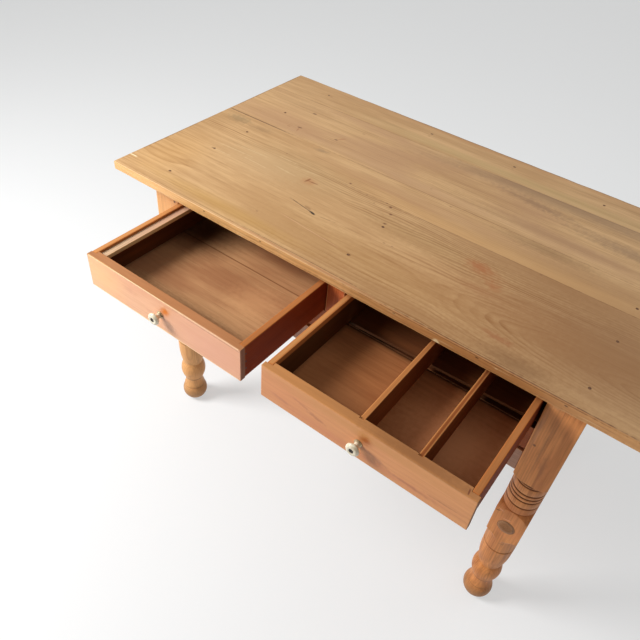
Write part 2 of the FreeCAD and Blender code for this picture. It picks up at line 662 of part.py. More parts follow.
# Rear bottom board of the right drawer: it has slid back askew and left a wedge-shaped gap
rear_board = doc.addObject("Part::Wedge", "right_bottom_back_board")
rear_board.Placement = FreeCAD.Placement(FreeCAD.Vector(), FreeCAD.Rotation(FreeCAD.Vector(1, 1, 0), 180))
for target, formula in (
        ("Xmin", "right_bottom_gap_left"), ("X2min", "right_bottom_gap_right"),
        ("Xmax", "drawer_end_y - bottom_seam_y"), ("X2max", "drawer_end_y - bottom_seam_y"),
        ("Ymin", "0"), ("Ymax", f"{right_bottom_x[1]} - ({right_bottom_x[0]})"),
        ("Zmin", "0"), ("Z2min", "0"),
        ("Zmax", "drawer_bottom_thickness"), ("Z2max", "drawer_bottom_thickness")):
    bind(rear_board, target, formula)
put(rear_board, right_bottom_x[0], "bottom_seam_y", "bottom_top")
keep("right_drawer_bottom_back", rear_board)

# Check and write
doc.recompute()
for item in doc.Objects:
    if {"Invalid", "Error"} & set(item.State):
        raise RuntimeError(f"{item.Name} failed: {item.State}")
for label, item in made.items():
    if item.Shape.isNull() or not item.Shape.isValid() or not item.Shape.Solids:
        raise RuntimeError(f"{label} is not a valid solid")
for label, item in made.items():
    item.Shape.exportStep(f"parts/{label}.step")
print(len(made), "sub-parts written")
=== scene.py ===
"""Looks of a pine work table with two drawers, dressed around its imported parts."""

import json
import logging
import math
from dataclasses import dataclass, replace
from enum import Enum
from itertools import product
from typing import Iterable, Sequence

import bmesh
import bpy
from mathutils import Matrix, Vector, noise


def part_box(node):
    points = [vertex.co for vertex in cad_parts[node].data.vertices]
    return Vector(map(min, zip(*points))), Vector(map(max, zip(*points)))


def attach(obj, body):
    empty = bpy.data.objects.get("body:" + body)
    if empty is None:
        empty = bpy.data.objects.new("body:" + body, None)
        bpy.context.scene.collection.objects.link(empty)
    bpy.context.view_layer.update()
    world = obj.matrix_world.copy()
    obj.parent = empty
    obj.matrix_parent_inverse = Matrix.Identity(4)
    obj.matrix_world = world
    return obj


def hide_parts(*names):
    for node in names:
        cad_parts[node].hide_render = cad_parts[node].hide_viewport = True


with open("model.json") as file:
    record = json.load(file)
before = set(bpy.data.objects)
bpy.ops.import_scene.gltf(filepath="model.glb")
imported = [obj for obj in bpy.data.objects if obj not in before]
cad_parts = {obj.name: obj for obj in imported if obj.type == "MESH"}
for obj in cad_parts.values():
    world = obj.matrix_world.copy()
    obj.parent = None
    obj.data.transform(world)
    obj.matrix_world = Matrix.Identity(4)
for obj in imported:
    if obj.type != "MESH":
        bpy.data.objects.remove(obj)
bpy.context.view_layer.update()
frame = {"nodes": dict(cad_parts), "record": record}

log = logging.getLogger("table")

MM = 0.001
Colour = tuple[float, float, float]
Place = tuple[float, float, float]


def srgb(red: int, green: int, blue: int) -> Colour:
    """Turn a screen colour into the linear one that a shader takes.

    Args:
        red: Red from 0 to 255.
        green: Green from 0 to 255.
        blue: Blue from 0 to 255.

    Returns:
        The linear colour.
    """
    shares = (red / 255, green / 255, blue / 255)
    return tuple(s / 12.92 if s <= 0.04045 else ((s + 0.055) / 1.055) ** 2.4 for s in shares)


class Grain(Enum):
    """The direction that a board's fibres run in."""

    ALONG_X = (0, 1, 2)
    ALONG_Y = (1, 0, 2)
    ALONG_Z = (2, 0, 1)


class Signal:
    """A socket of a shader graph that takes part in sums."""

    def __init__(self, graph: "Graph", socket: bpy.types.NodeSocket) -> None:
        """Wrap one output socket of a graph."""
        self.graph = graph
        self.socket = socket

    def maths(self, operation: str, *others: "Signal | float") -> "Signal":
        """Add a Math node.

        Args:
            operation: The Math node's operation.
            others: The values after this one.

        Returns:
            The result.
        """
        inputs = {0: self, **dict(enumerate(others, 1))}
        return self.graph.node("ShaderNodeMath", {"operation": operation}, inputs)

    def __add__(self, other: "Signal | float") -> "Signal":
        """Sum."""
        return self.maths("ADD", other)

    __radd__ = __add__

    def __sub__(self, other: "Signal | float") -> "Signal":
        """Difference."""
        return self.maths("SUBTRACT", other)

    def __rsub__(self, other: float) -> "Signal":
        """Difference from a number."""
        return (self * -1.0) + other

    def __mul__(self, other: "Signal | float") -> "Signal":
        """Product."""
        return self.maths("MULTIPLY", other)

    __rmul__ = __mul__

    def __truediv__(self, other: "Signal | float") -> "Signal":
        """Quotient."""
        return self.maths("DIVIDE", other)

    def __pow__(self, other: "Signal | float") -> "Signal":
        """Power."""
        return self.maths("POWER", other)

    def band(self, low: float, high: float, start: float = 0.0, end: float = 1.0) -> "Signal":
        """Ease from one value to another as this signal crosses a span.

        Args:
            low: Where the change begins.
            high: Where it ends.
            start: The value before it.
            end: The value after it.

        Returns:
            The eased signal.
        """
        span = {"Value": self, "From Min": low, "From Max": high, "To Min": start, "To Max": end}
        return self.graph.node("ShaderNodeMapRange", {"interpolation_type": "SMOOTHSTEP"}, span)


class Graph:
    """The node tree of one material."""

    def __init__(self, name: str) -> None:
        """Start a material with a shader and an output."""
        self.material = bpy.data.materials.new(name)
        self.material.use_nodes = True
        self.tree = self.material.node_tree
        self.tree.nodes.clear()
        self.shader = self.tree.nodes.new("ShaderNodeBsdfPrincipled")
        output = self.tree.nodes.new("ShaderNodeOutputMaterial")
        self.tree.links.new(self.shader.outputs[0], output.inputs["Surface"])

    def node(self, kind: str, settings: dict | None = None, inputs: dict | None = None,
             output: int | str = 0) -> Signal:
        """Add a node.

        Args:
            kind: The node's type.
            settings: Its properties, set before its sockets.
            inputs: Values or signals by socket name or number.
            output: Which output to give back.

        Returns:
            That output.
        """
        made = self.tree.nodes.new(kind)
        for key, value in (settings or {}).items():
            setattr(made, key, value)
        for key, value in (inputs or {}).items():
            self.feed(made.inputs[key], value)
        return Signal(self, made.outputs[output])

    def feed(self, socket: bpy.types.NodeSocket, value: object) -> None:
        """Link a signal to a socket, or write a number or a colour into it."""
        if isinstance(value, Signal):
            self.tree.links.new(value.socket, socket)
        elif isinstance(value, (tuple, list)) and socket.type == "RGBA":
            socket.default_value = (*value, 1.0)
        else:
            socket.default_value = value

    def coordinates(self) -> tuple[Signal, Signal, Signal]:
        """The place on the piece in metres, as three numbers."""
        place = self.node("ShaderNodeTexCoord", output="Object")
        split = self.node("ShaderNodeSeparateXYZ", inputs={0: place}).socket.node
        return tuple(Signal(self, output) for output in split.outputs)

    def vector(self, x: Signal | float, y: Signal | float, z: Signal | float) -> Signal:
        """Join three numbers."""
        return self.node("ShaderNodeCombineXYZ", inputs={0: x, 1: y, 2: z})

    def noise(self, vector: Signal, scale: float, detail: float, rough: float = 0.5) -> Signal:
        """Smooth noise from 0 to 1 about 0.5."""
        return self.node("ShaderNodeTexNoise", {"noise_dimensions": "3D"},
                         {"Vector": vector, "Scale": scale, "Detail": detail, "Roughness": rough})

    def measure(self, operation: str, *vectors: Signal | Place) -> Signal:
        """A number worked out from vectors, such as a length or a dot product."""
        return self.node("ShaderNodeVectorMath", {"operation": operation}, dict(enumerate(vectors)), "Value")

    def mix(self, mask: Signal | float, low: Signal | Colour, high: Signal | Colour) -> Signal:
        """Mix two colours.

        Args:
            mask: 0 for the first colour and 1 for the second.
            low: The first colour.
            high: The second colour.

        Returns:
            The mixed colour.
        """
        # The node keeps its colour sockets behind those for numbers and vectors
        factor, first, second, result = 0, 6, 7, 2
        inputs = {factor: mask, first: low, second: high}
        return self.node("ShaderNodeMix", {"data_type": "RGBA"}, inputs, result)

    def bump(self, height: Signal, distance: float) -> Signal:
        """A normal from a height."""
        return self.node("ShaderNodeBump", inputs={"Height": height, "Distance": distance})

    def finish(self, **sockets: object) -> bpy.types.Material:
        """Feed the shader's sockets by name, with _ for a space, and give the material back."""
        for key, value in sockets.items():
            self.feed(self.shader.inputs[key.replace("_", " ")], value)
        return self.material


@dataclass(frozen=True)
class Pattern:
    """Noise that is drawn out along a board's fibres.

    Attributes:
        along: How many waves a metre has along the fibres.
        across: How many it has across them.
        detail: How many finer waves lie on these.
        rough: How strong the finer waves are.
    """

    along: float
    across: float
    detail: float
    rough: float = 0.5

    def signal(self, graph: Graph, place: Sequence[Signal]) -> Signal:
        """Lay the pattern through a board.

        Args:
            graph: The material's graph.
            place: The point along, across and through the board.

        Returns:
            Noise from 0 to 1 about 0.5.
        """
        along, across, through = place
        stretched = graph.vector(along * self.along, across * self.across, through * self.across)
        return graph.noise(stretched, 1.0, self.detail, self.rough)


# How old pine varies: slow bends and curls of the rings, where they show, and what lies between them

SWAY = Pattern(1.4, 4.0, 2.0)
SWIRL = Pattern(6.0, 24.0, 1.0)
AREA = Pattern(1.7, 7.0, 2.0)
FIBRE = Pattern(9.0, 520.0, 3.0, 0.6)
STREAK = Pattern(2.4, 75.0, 4.0, 0.68)
BLOTCH = Pattern(3.0, 11.0, 4.0, 0.55)
FLECK = Pattern(17.0, 165.0, 2.0, 0.6)


@dataclass(frozen=True)
class Mark:
    """A stain, knot, dent or scratch on one face of a board.

    Attributes:
        at: Its middle, in the face's two coordinates.
        reach: Its half length and half width in metres.
        colour: What it stains the wood to.
        strength: How much of that colour it takes, from 0 to 1.
        turn: Its turn on the face in degrees.
        ragged: How far its outline wanders, as a share of its size.
        soft: How much of its reach fades out.
        hollow: The share of its reach that stays clear in the middle, for a ring.
        square: Whether it has square ends, for a line or a band.
        half: 1 or -1 keeps only the part on that side of its middle line, with a sharp edge there.
    """

    at: tuple[float, float]
    reach: tuple[float, float]
    colour: Colour
    strength: float = 0.8
    turn: float = 0.0
    ragged: float = 0.35
    soft: float = 0.6
    hollow: float = 0.0
    square: bool = False
    half: int = 0

    def mask(self, graph: Graph, flat: Signal, coarse: Signal, whole: Signal | float) -> Signal:
        """Where the mark lies.

        Args:
            graph: The material's graph.
            flat: The point's two coordinates on the face and a 1, as a vector.
            coarse: Noise about 0 that makes the outline ragged.
            whole: How far the point belongs to the face.

        Returns:
            How much of the mark's colour the point takes.
        """
        cosine, sine = math.cos(math.radians(self.turn)), math.sin(math.radians(self.turn))
        rows = [(x / reach, y / reach, -(x * self.at[0] + y * self.at[1]) / reach)
                for (x, y), reach in zip(((cosine, sine), (-sine, cosine)), self.reach)]
        along, signed = (graph.measure("DOT_PRODUCT", flat, row) for row in rows)
        if self.square:
            distance = along.maths("ABSOLUTE").maths("MAXIMUM", signed.maths("ABSOLUTE"))
        else:
            distance = graph.measure("LENGTH", graph.vector(along, signed, 0.0))
        distance = coarse.maths("MULTIPLY_ADD", 2 * self.ragged, distance)
        mask = distance.band(1.0, 1.0 - self.soft, 0.0, self.strength) * whole
        if self.hollow:
            mask = mask * distance.band(self.hollow * 0.9, self.hollow)
        if self.half:
            mask = mask * (signed * float(self.half) + coarse * 0.05).band(-0.02, 0.03)
        return mask


def tone(at: tuple[float, float], reach: tuple[float, float], colour: Colour, strength: float,
         ragged: float = 0.3, soft: float = 0.95, turn: float = 0.0) -> Mark:
    """A soft patch of another tone, with the values of a mark."""
    return Mark(at, reach, colour, strength, turn, ragged, soft)


def line(at: tuple[float, float], reach: tuple[float, float], colour: Colour, strength: float,
         ragged: float = 0.5, soft: float = 0.6, turn: float = 0.0) -> Mark:
    """A crack, scratch, seam or band with square ends, with the values of a mark."""
    return Mark(at, reach, colour, strength, turn, ragged, soft, square=True)


@dataclass(frozen=True)
class Face:
    """One face of a board that looks unlike the rest.

    Attributes:
        axis: The axis that the face looks along.
        side: 1 for the high side, -1 for the low side, 0 for every side.
        colour: What the face is tinted to.
        strength: How much of that colour it takes.
        reach: How deep the face goes, in metres.
        marks: What lies on the face.
    """

    axis: int
    side: int
    colour: Colour = (0.0, 0.0, 0.0)
    strength: float = 0.0
    reach: float = 0.0012
    marks: tuple[Mark, ...] = ()

    def mask(self, place: Signal, box: tuple[Place, Place]) -> Signal | float:
        """How far a point belongs to the face.

        Args:
            place: The point's coordinate along the face's axis.
            box: The board's lowest and highest corners.

        Returns:
            1 on the face and 0 off it.
        """
        if self.side > 0:
            return place.band(box[1][self.axis] - self.reach, box[1][self.axis] - self.reach * 0.3)
        if self.side < 0:
            return place.band(box[0][self.axis] + self.reach, box[0][self.axis] + self.reach * 0.3)
        return 1.0


@dataclass(frozen=True)
class WoodFinish:
    """Old wood with growth rings, fibres, blotches, worn arrises and marks.

    Attributes:
        name: The material's name.
        pale: The light wood between the rings.
        deep: The dark side of each ring.
        tint: A second hue that drifts over the board.
        grain: The direction of the fibres.
        heart: Where the tree's heart lay, across the fibres, in metres.
        slope: How fast the heart rises along the board, which opens the rings into arches.
        arch: Where along the board, from its middle, the arches begin.
        wander: How far the rings wander, in metres.
        curl: How far they curl within a hand's breadth, in metres.
        ring: The distance from ring to ring in metres.
        ring_strength: How much the rings show.
        ring_uneven: How much they fade out in places, from 0 to 1.
        fleck_strength: How much short flecks along the grain show.
        fibre_strength: How much the fibres show.
        blotch_strength: How far the tint drifts.
        grime: The colour of dirt in pores, and of dirt and painted shade along edges.
        grime_strength: How much dirt there is.
        arris: The colour of the worn arrises, on a drawer front's face also a painted highlight.
        arris_strength: How much they show.
        arris_reach: How wide they are, in metres.
        arris_ends: The share of that wear at the board's ends.
        arris_face: The axis and side of the only face whose arrises are worn pale, or zeros for every face;
            on a drawer front that pale colour is also a painted highlight.
        end_colour: The colour of the end grain.
        rough: The mean roughness.
        coat: The weight of a thin varnish.
        gloss: How much bare wood reflects.
        relief: The depth of the fibres in metres.
        seed: Moves every pattern, so that no two boards are alike.
        box: The board's lowest and highest corners.
        tight: The sides, as axis and side, that another board is jointed to.
        dirt_and_shade_reach: How far dirt and painted shade spread from the board's long and cross edges, in
            metres, or 0.
        faces: The faces that look unlike the rest.
    """

    name: str
    pale: Colour
    deep: Colour
    tint: Colour
    grain: Grain = Grain.ALONG_X
    heart: tuple[float, float] = (-0.3, -0.08)
    slope: float = 0.0
    arch: float = -9.0
    wander: float = 0.02
    curl: float = 0.006
    ring: float = 0.005
    ring_strength: float = 0.3
    ring_uneven: float = 0.3
    fleck_strength: float = 0.3
    fibre_strength: float = 0.4
    blotch_strength: float = 0.5
    grime: Colour = srgb(92, 60, 36)
    grime_strength: float = 0.25
    arris: Colour = srgb(214, 160, 104)
    arris_strength: float = 0.5
    arris_reach: float = 0.003
    arris_ends: float = 1.0
    arris_face: tuple[int, int] = (0, 0)
    end_colour: Colour = srgb(150, 100, 62)
    rough: float = 0.5
    coat: float = 0.0
    gloss: float = 0.4
    relief: float = 0.00012
    seed: float = 0.0
    box: tuple[Place, Place] = ((0.0, 0.0, 0.0), (0.0, 0.0, 0.0))
    tight: tuple[tuple[int, int], ...] = ()
    dirt_and_shade_reach: float = 0.0
    faces: tuple[Face, ...] = ()

    def fitted(self, node: str, seed: float, *faces: Face) -> "WoodFinish":
        """This finish on one node's board, with the board's own pattern and faces.

        Args:
            node: The node.
            seed: Moves the pattern.
            faces: More faces for this board.

        Returns:
            The fitted finish.
        """
        low, high = (tuple(float(c) for c in corner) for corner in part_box(node))
        return replace(self, name=node + "_wood", seed=seed, box=(low, high), faces=self.faces + faces)

    def build(self) -> bpy.types.Material:
        """Build the material.

        Returns:
            The material.
        """
        graph = Graph(self.name)
        xyz = graph.coordinates()
        middle = tuple((low + high) / 2 for low, high in zip(*self.box))
        along, across, through = (xyz[i] - middle[i] for i in self.grain.value)
        place = along + self.seed, across, through
        fibre, streak, blotch, fleck = (p.signal(graph, place) for p in (FIBRE, STREAK, BLOTCH, FLECK))
        ring = self.rings(graph, along, place)
        dark = ring * self.ring_strength + streak.band(0.35, 0.72) * self.fibre_strength
        dark = dark + (fleck - 0.5) * (2 * self.fleck_strength)
        colour = graph.mix(dark, self.pale, self.deep)
        colour = graph.mix(blotch.band(0.42, 0.66) * self.blotch_strength, colour, self.tint)
        for face in self.faces:
            if face.strength:
                mask = face.mask(xyz[face.axis], self.box) * blotch.band(0.25, 0.6, 0.75, 1.0) * face.strength
                colour = graph.mix(mask, colour, self.shaded(graph, dark, face.colour))
        colour = graph.mix(fibre.band(0.55, 0.75) * self.grime_strength, colour, self.grime)
        gaps = [self.gap(xyz[i], i) for i in range(3)]
        ends = gaps[self.grain.value[0]].band(0.7 * MM, 0.2 * MM) * 0.75
        colour = graph.mix(ends, colour, self.shaded(graph, dark, self.end_colour))
        colour = graph.mix(self.wear_and_highlight(xyz, gaps, blotch), colour, self.arris)
        # Dirt and painted shade darken the board towards its long and cross edges, as a drawer's walls shade
        # its bottom.
        if self.dirt_and_shade_reach:
            corner = gaps[0].maths("MINIMUM", gaps[1]) + (blotch - 0.5) * (self.dirt_and_shade_reach * 0.9)
            colour = graph.mix(corner.band(self.dirt_and_shade_reach, 0.0) * 0.6, colour, self.grime)
        for face in self.faces:
            colour = self.marked(graph, xyz, face, colour)
        roughness = self.rough + (fibre - 0.5) * 0.25 + (blotch - 0.5) * 0.2 + ends * 0.4
        height = fibre * 0.6 + ring * -0.5 + streak * 0.5
        varnish = ends * -self.coat + self.coat if self.coat else 0.0
        return graph.finish(Base_Color=colour, Roughness=roughness, Normal=graph.bump(height, self.relief),
                            Coat_Weight=varnish, Coat_Roughness=0.25, Specular_IOR_Level=self.gloss)

    def rings(self, graph: Graph, along: Signal, place: Sequence[Signal]) -> Signal:
        """The dark sides of the growth rings.

        Args:
            graph: The material's graph.
            along: How far the point is along the board from its middle.
            place: The point along, across and through the board, moved along by the seed.

        Returns:
            1 on a ring's dark side and 0 between the rings.
        """
        seeded, across, through = place
        sway, swirl = (pattern.signal(graph, place) - 0.5 for pattern in (SWAY, SWIRL))
        side = across + sway * (2 * self.wander) + swirl * self.curl - self.heart[0]
        rise = (along - self.arch).maths("MAXIMUM", 0.0) * self.slope
        depth = through + sway * self.wander + swirl * self.curl + rise - self.heart[1]
        radius = (side * side + depth * depth) ** 0.5
        phase = (radius / self.ring + swirl * 0.8).maths("FRACT")
        width = graph.noise(graph.vector(radius * 70.0, seeded, 0.0), 1.0, 1.0)
        area = AREA.signal(graph, place)
        ring = phase.band(0.25, 0.88) * phase.band(1.0, 0.9) * width.band(0.3, 0.7, 0.35, 1.0)
        return ring * area.band(0.38, 0.6, 1.0 - self.ring_uneven, 1.0)

    def gap(self, place: Signal, axis: int) -> Signal:
        """How far a point is from the nearer of the board's two open faces on an axis."""
        low = place - self.box[0][axis] if (axis, -1) not in self.tight else place * 0.0 + 1.0
        high = self.box[1][axis] - place if (axis, 1) not in self.tight else place * 0.0 + 1.0
        return low.maths("MINIMUM", high)

    def wear_and_highlight(self, xyz: Sequence[Signal], gaps: Sequence[Signal], blotch: Signal) -> Signal:
        """Where the arrises are worn pale, or painted pale as a highlight.

        Args:
            xyz: The place on the piece.
            gaps: How far it is from the open faces on each axis.
            blotch: Noise that makes the wear uneven.

        Returns:
            How much of the wear and painted highlight shows.
        """
        least, most = gaps[0].maths("MINIMUM", gaps[1]), gaps[0].maths("MAXIMUM", gaps[1])
        uneven = (blotch - 0.5) * (self.arris_reach * 1.2)
        edge = least.maths("MAXIMUM", most.maths("MINIMUM", gaps[2])) + uneven
        wear_and_highlight = edge.band(self.arris_reach, self.arris_reach * 0.25) * self.arris_strength
        if self.arris_ends < 1.0:
            end = gaps[self.grain.value[0]]
            wear_and_highlight = wear_and_highlight * end.band(self.arris_reach * 0.8, self.arris_reach * 1.6, self.arris_ends, 1.0)
        # On a drawer front only one face's arrises show it, as a painted highlight on the face toward the
        # light.
        axis, side = self.arris_face
        if side:
            wear_and_highlight = wear_and_highlight * Face(axis, side, reach=1.5 * MM).mask(xyz[axis], self.box)
        return wear_and_highlight

    def shaded(self, graph: Graph, dark: Signal, colour: Colour) -> Signal:
        """A colour that keeps the grain, darker where the grain is dark."""
        return graph.mix(dark, tuple(min(c * 1.08, 1.0) for c in colour), tuple(c * 0.72 for c in colour))

    def marked(self, graph: Graph, xyz: Sequence[Signal], face: Face, colour: Signal) -> Signal:
        """Lay a face's marks over a colour.

        Args:
            graph: The material's graph.
            xyz: The place on the piece.
            face: The face with its marks.
            colour: The colour without marks.

        Returns:
            The colour with them.
        """
        if not face.marks:
            return colour
        first, second = (xyz[i] for i in range(3) if i != face.axis)
        coarse = graph.noise(graph.vector(first * 110.0, second * 110.0, self.seed), 1.0, 3.0) - 0.5
        whole = replace(face, reach=4 * MM).mask(xyz[face.axis], self.box)
        flat = graph.vector(first, second, 1.0)
        for mark in face.marks:
            colour = graph.mix(mark.mask(graph, flat, coarse, whole), colour, mark.colour)
        return colour


@dataclass(frozen=True)
class GlazeFinish:
    """Old cream porcelain with fine crazing."""

    name: str = "porcelain"
    cream: Colour = srgb(232, 222, 196)
    stain: Colour = srgb(168, 140, 96)
    rough: float = 0.12

    def build(self) -> bpy.types.Material:
        """Build the material."""
        graph = Graph(self.name)
        place = graph.vector(*graph.coordinates())
        cloud = graph.noise(place, 120.0, 3.0)
        cracks = graph.node("ShaderNodeTexVoronoi", {"feature": "DISTANCE_TO_EDGE"},
                            {"Vector": place, "Scale": 320.0}, "Distance")
        colour = graph.mix(cloud.band(0.45, 0.75) * 0.5, self.cream, self.stain)
        colour = graph.mix(cracks.band(0.05, 0.0) * 0.35, colour, self.stain)
        return graph.finish(Base_Color=colour, Roughness=cloud.band(0.2, 0.9, self.rough, self.rough + 0.15),
                            Coat_Weight=0.4, Coat_Roughness=0.08)


@dataclass(frozen=True)
class MetalFinish:
    """Tarnished metal, brighter where it is rubbed.

    Attributes:
        name: The material's name.
        bright: The colour where it is rubbed.
        tarnish: The colour elsewhere.
        metallic: How metallic it is where it is rubbed.
        rough: The mean roughness.
        filled: The places, across and back, of the heads that are filled over with putty.
        putty: The colour of the putty.
    """

    name: str
    bright: Colour
    tarnish: Colour
    metallic: float = 0.8
    rough: float = 0.45
    filled: tuple[tuple[float, float], ...] = ()
    putty: Colour = srgb(198, 156, 110)

    def build(self) -> bpy.types.Material:
        """Build the material."""
        graph = Graph(self.name)
        x, y, z = graph.coordinates()
        place = graph.vector(x, y, z)
        cloud = graph.noise(place, 260.0, 3.0, 0.6)
        grit = graph.noise(place, 1600.0, 2.0)
        mask = cloud.band(0.35, 0.65)
        colour = graph.mix(mask, self.bright, self.tarnish)
        shine = mask.band(0.0, 1.0, self.metallic, self.metallic * 0.6)
        for across, back in self.filled:
            gap = (x - across).maths("ABSOLUTE").maths("MAXIMUM", (y - back).maths("ABSOLUTE"))
            colour = graph.mix(gap.band(0.007, 0.006), colour, self.putty)
            shine = shine * gap.band(0.006, 0.007)
        return graph.finish(Base_Color=colour, Metallic=shine, Roughness=self.rough + (grit - 0.5) * 0.3,
                            Normal=graph.bump(grit, 0.08 * MM))


# Finishes of this table's own pieces

UMBER = srgb(74, 46, 28)
GREY = srgb(140, 118, 92)
SOOT = srgb(46, 34, 28)
STRAW = srgb(226, 196, 148)

TOP = WoodFinish("top_wood", pale=srgb(220, 178, 127), deep=srgb(164, 118, 72), tint=srgb(194, 150, 102),
                 wander=0.03, ring=0.0055, ring_uneven=0.75, fleck_strength=0.45, fibre_strength=0.42,
                 blotch_strength=0.75, arris=srgb(226, 176, 116), arris_strength=0.6, arris_reach=0.002,
                 end_colour=srgb(196, 146, 96), coat=0.06, relief=0.0002)
LEG = WoodFinish("leg_wood", pale=srgb(226, 150, 84), deep=srgb(156, 90, 44), tint=srgb(200, 122, 62),
                 grain=Grain.ALONG_Z, heart=(0.03, -0.05), wander=0.01, ring=0.0045, ring_strength=0.34,
                 fibre_strength=0.62, fleck_strength=0.5, coat=0.05, gloss=0.3,
                 arris=srgb(226, 164, 98), arris_strength=0.3)
PALE_LEG = replace(LEG, pale=srgb(228, 170, 108), deep=srgb(170, 114, 64), tint=srgb(208, 146, 88),
                   fibre_strength=0.35, fleck_strength=0.25)
APRON = WoodFinish("apron_wood", pale=srgb(206, 134, 74), deep=srgb(148, 84, 40), tint=srgb(178, 104, 52),
                   coat=0.08)
SIDE_APRON = replace(APRON, grain=Grain.ALONG_Y)
# Painted shade: the board under the drawers takes a greyer, lilac copy of the apron's finish, coloured as
# that face looks in shade.
DIM_APRON = replace(APRON, pale=srgb(176, 130, 104), deep=srgb(132, 88, 66), tint=srgb(152, 106, 88),
                    heart=(-0.05, -0.3))
# Painted shade: the drawer rail's top face is tinted near-black, where the drawers shade it.
DRAWER_RAIL = replace(APRON, pale=srgb(158, 84, 44), deep=srgb(112, 56, 28), tint=srgb(132, 66, 34),
                      heart=(-0.05, -0.3), coat=0.0, gloss=0.15, arris_strength=0.1,
                      faces=(Face(2, 1, srgb(40, 24, 14), 0.95),))
STILE = replace(APRON, grain=Grain.ALONG_Z, pale=srgb(210, 110, 56), deep=srgb(150, 66, 30),
                tint=srgb(176, 86, 42), arris=srgb(222, 150, 94), arris_strength=0.9, coat=0.0, gloss=0.2)
INNER = WoodFinish("frame_wood", pale=srgb(176, 128, 82), deep=srgb(124, 82, 48), tint=srgb(146, 98, 60),
                   rough=0.7, grain=Grain.ALONG_Y, grime_strength=0.4, gloss=0.2)
# The drawer front's near-white arris colour on its face is a painted highlight as well as wear, and its very
# dark end colour is painted shade on an end turned from the light as well as end grain.
FRONT = WoodFinish("drawer_front_wood", pale=srgb(230, 172, 130), deep=srgb(200, 132, 88),
                   tint=srgb(218, 146, 106), heart=(-0.05, -0.3), wander=0.025, ring=0.007,
                   ring_strength=0.15, fibre_strength=0.25, fleck_strength=0.4, rough=0.4, coat=0.15,
                   grime_strength=0.15, arris=srgb(252, 218, 168), arris_strength=0.9, arris_reach=0.0034,
                   arris_ends=0.1, arris_face=(1, -1), end_colour=srgb(84, 42, 24))
# Painted shade: the drawer sides' red-brown is darkened past the wood's own colour for faces turned from the
# light; their top faces take a lighter orange.
SIDE = WoodFinish("drawer_side_wood", pale=srgb(150, 66, 28), deep=srgb(92, 36, 14), tint=srgb(120, 50, 20),
                  grain=Grain.ALONG_Y, heart=(-0.05, -0.3), ring_strength=0.2, rough=0.6, gloss=0.05,
                  arris=srgb(196, 116, 58), arris_strength=0.6, end_colour=srgb(136, 80, 44),
                  faces=(Face(2, 1, srgb(190, 124, 72), 0.9, 0.0016),))
# The drawer bottoms darken towards their edges with dirt and painted shade.
BOTTOM = WoodFinish("drawer_bottom_wood", pale=srgb(196, 148, 104), deep=srgb(154, 104, 68),
                    tint=srgb(156, 104, 70), ring=0.012, ring_strength=0.25, fibre_strength=0.35, rough=0.55,
                    blotch_strength=0.75, grime=srgb(70, 44, 26), gloss=0.15, dirt_and_shade_reach=0.016)
LEDGE = WoodFinish("ledge_wood", pale=srgb(216, 182, 146), deep=srgb(160, 122, 90), tint=srgb(204, 158, 130),
                   grain=Grain.ALONG_Y, rough=0.65, blotch_strength=0.9, grime_strength=0.3, gloss=0.2,
                   faces=(Face(0, 1, srgb(204, 166, 112), 0.8),))
PORCELAIN = GlazeFinish()
BRASS = MetalFinish("collar_metal", srgb(206, 186, 146), srgb(116, 94, 66))
IRON = MetalFinish("iron", srgb(84, 74, 66), srgb(44, 34, 28), metallic=0.5, rough=0.6)
NAILS = MetalFinish("top_nail_iron", srgb(132, 92, 62), srgb(94, 62, 42), metallic=0.1, rough=0.7,
                    filled=((-0.0135, 0.0615), (-0.0135, 0.1895), (-0.0135, 0.3255), (-0.489, 0.4085),
                            (-0.1457, 0.4085), (0.0874, 0.4085)))


# Mesh making


def show(name: str, mesh: bmesh.types.BMesh, angle: float = 35.0) -> bpy.types.Object:
    """Turn a working mesh into a smooth piece of the scene.

    Args:
        name: The piece's name.
        mesh: The working mesh, which is freed.
        angle: The angle in degrees over which an edge stays sharp.

    Returns:
        The piece.
    """
    data = bpy.data.meshes.new(name)
    mesh.to_mesh(data)
    mesh.free()
    data.shade_smooth()
    data.set_sharp_from_angle(angle=math.radians(angle))
    piece = bpy.data.objects.new(name, data)
    bpy.context.scene.collection.objects.link(piece)
    return piece


def settle(piece: bpy.types.Object, material: bpy.types.Material, *nodes: str) -> bpy.types.Object:
    """Dress a piece, let it ride on its nodes' body and stand for them.

    Args:
        piece: The finished piece.
        material: Its material.
        nodes: The CAD nodes that it replaces, all on one body.

    Returns:
        The piece.
    """
    piece.data.materials.append(material)
    record = frame["record"]
    body = next(b for b, members in record["behaviour"]["bodies"].items() if nodes[0] in members)
    slot = next(s["material_slot"] for s in record["subparts"] if s["node"] == nodes[0])
    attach(piece, body)
    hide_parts(*nodes)
    log.info("%s stands for %s", piece.name, ", ".join(nodes))
    return piece


def round_over(mesh: bmesh.types.BMesh, edges: Iterable, width: float, segments: int = 2) -> None:
    """Round the given edges over by a width in metres."""
    bmesh.ops.bevel(mesh, geom=list(edges), offset=width, offset_type="OFFSET", segments=segments,
                    profile=0.5, affect="EDGES", clamp_overlap=True, material=-1)


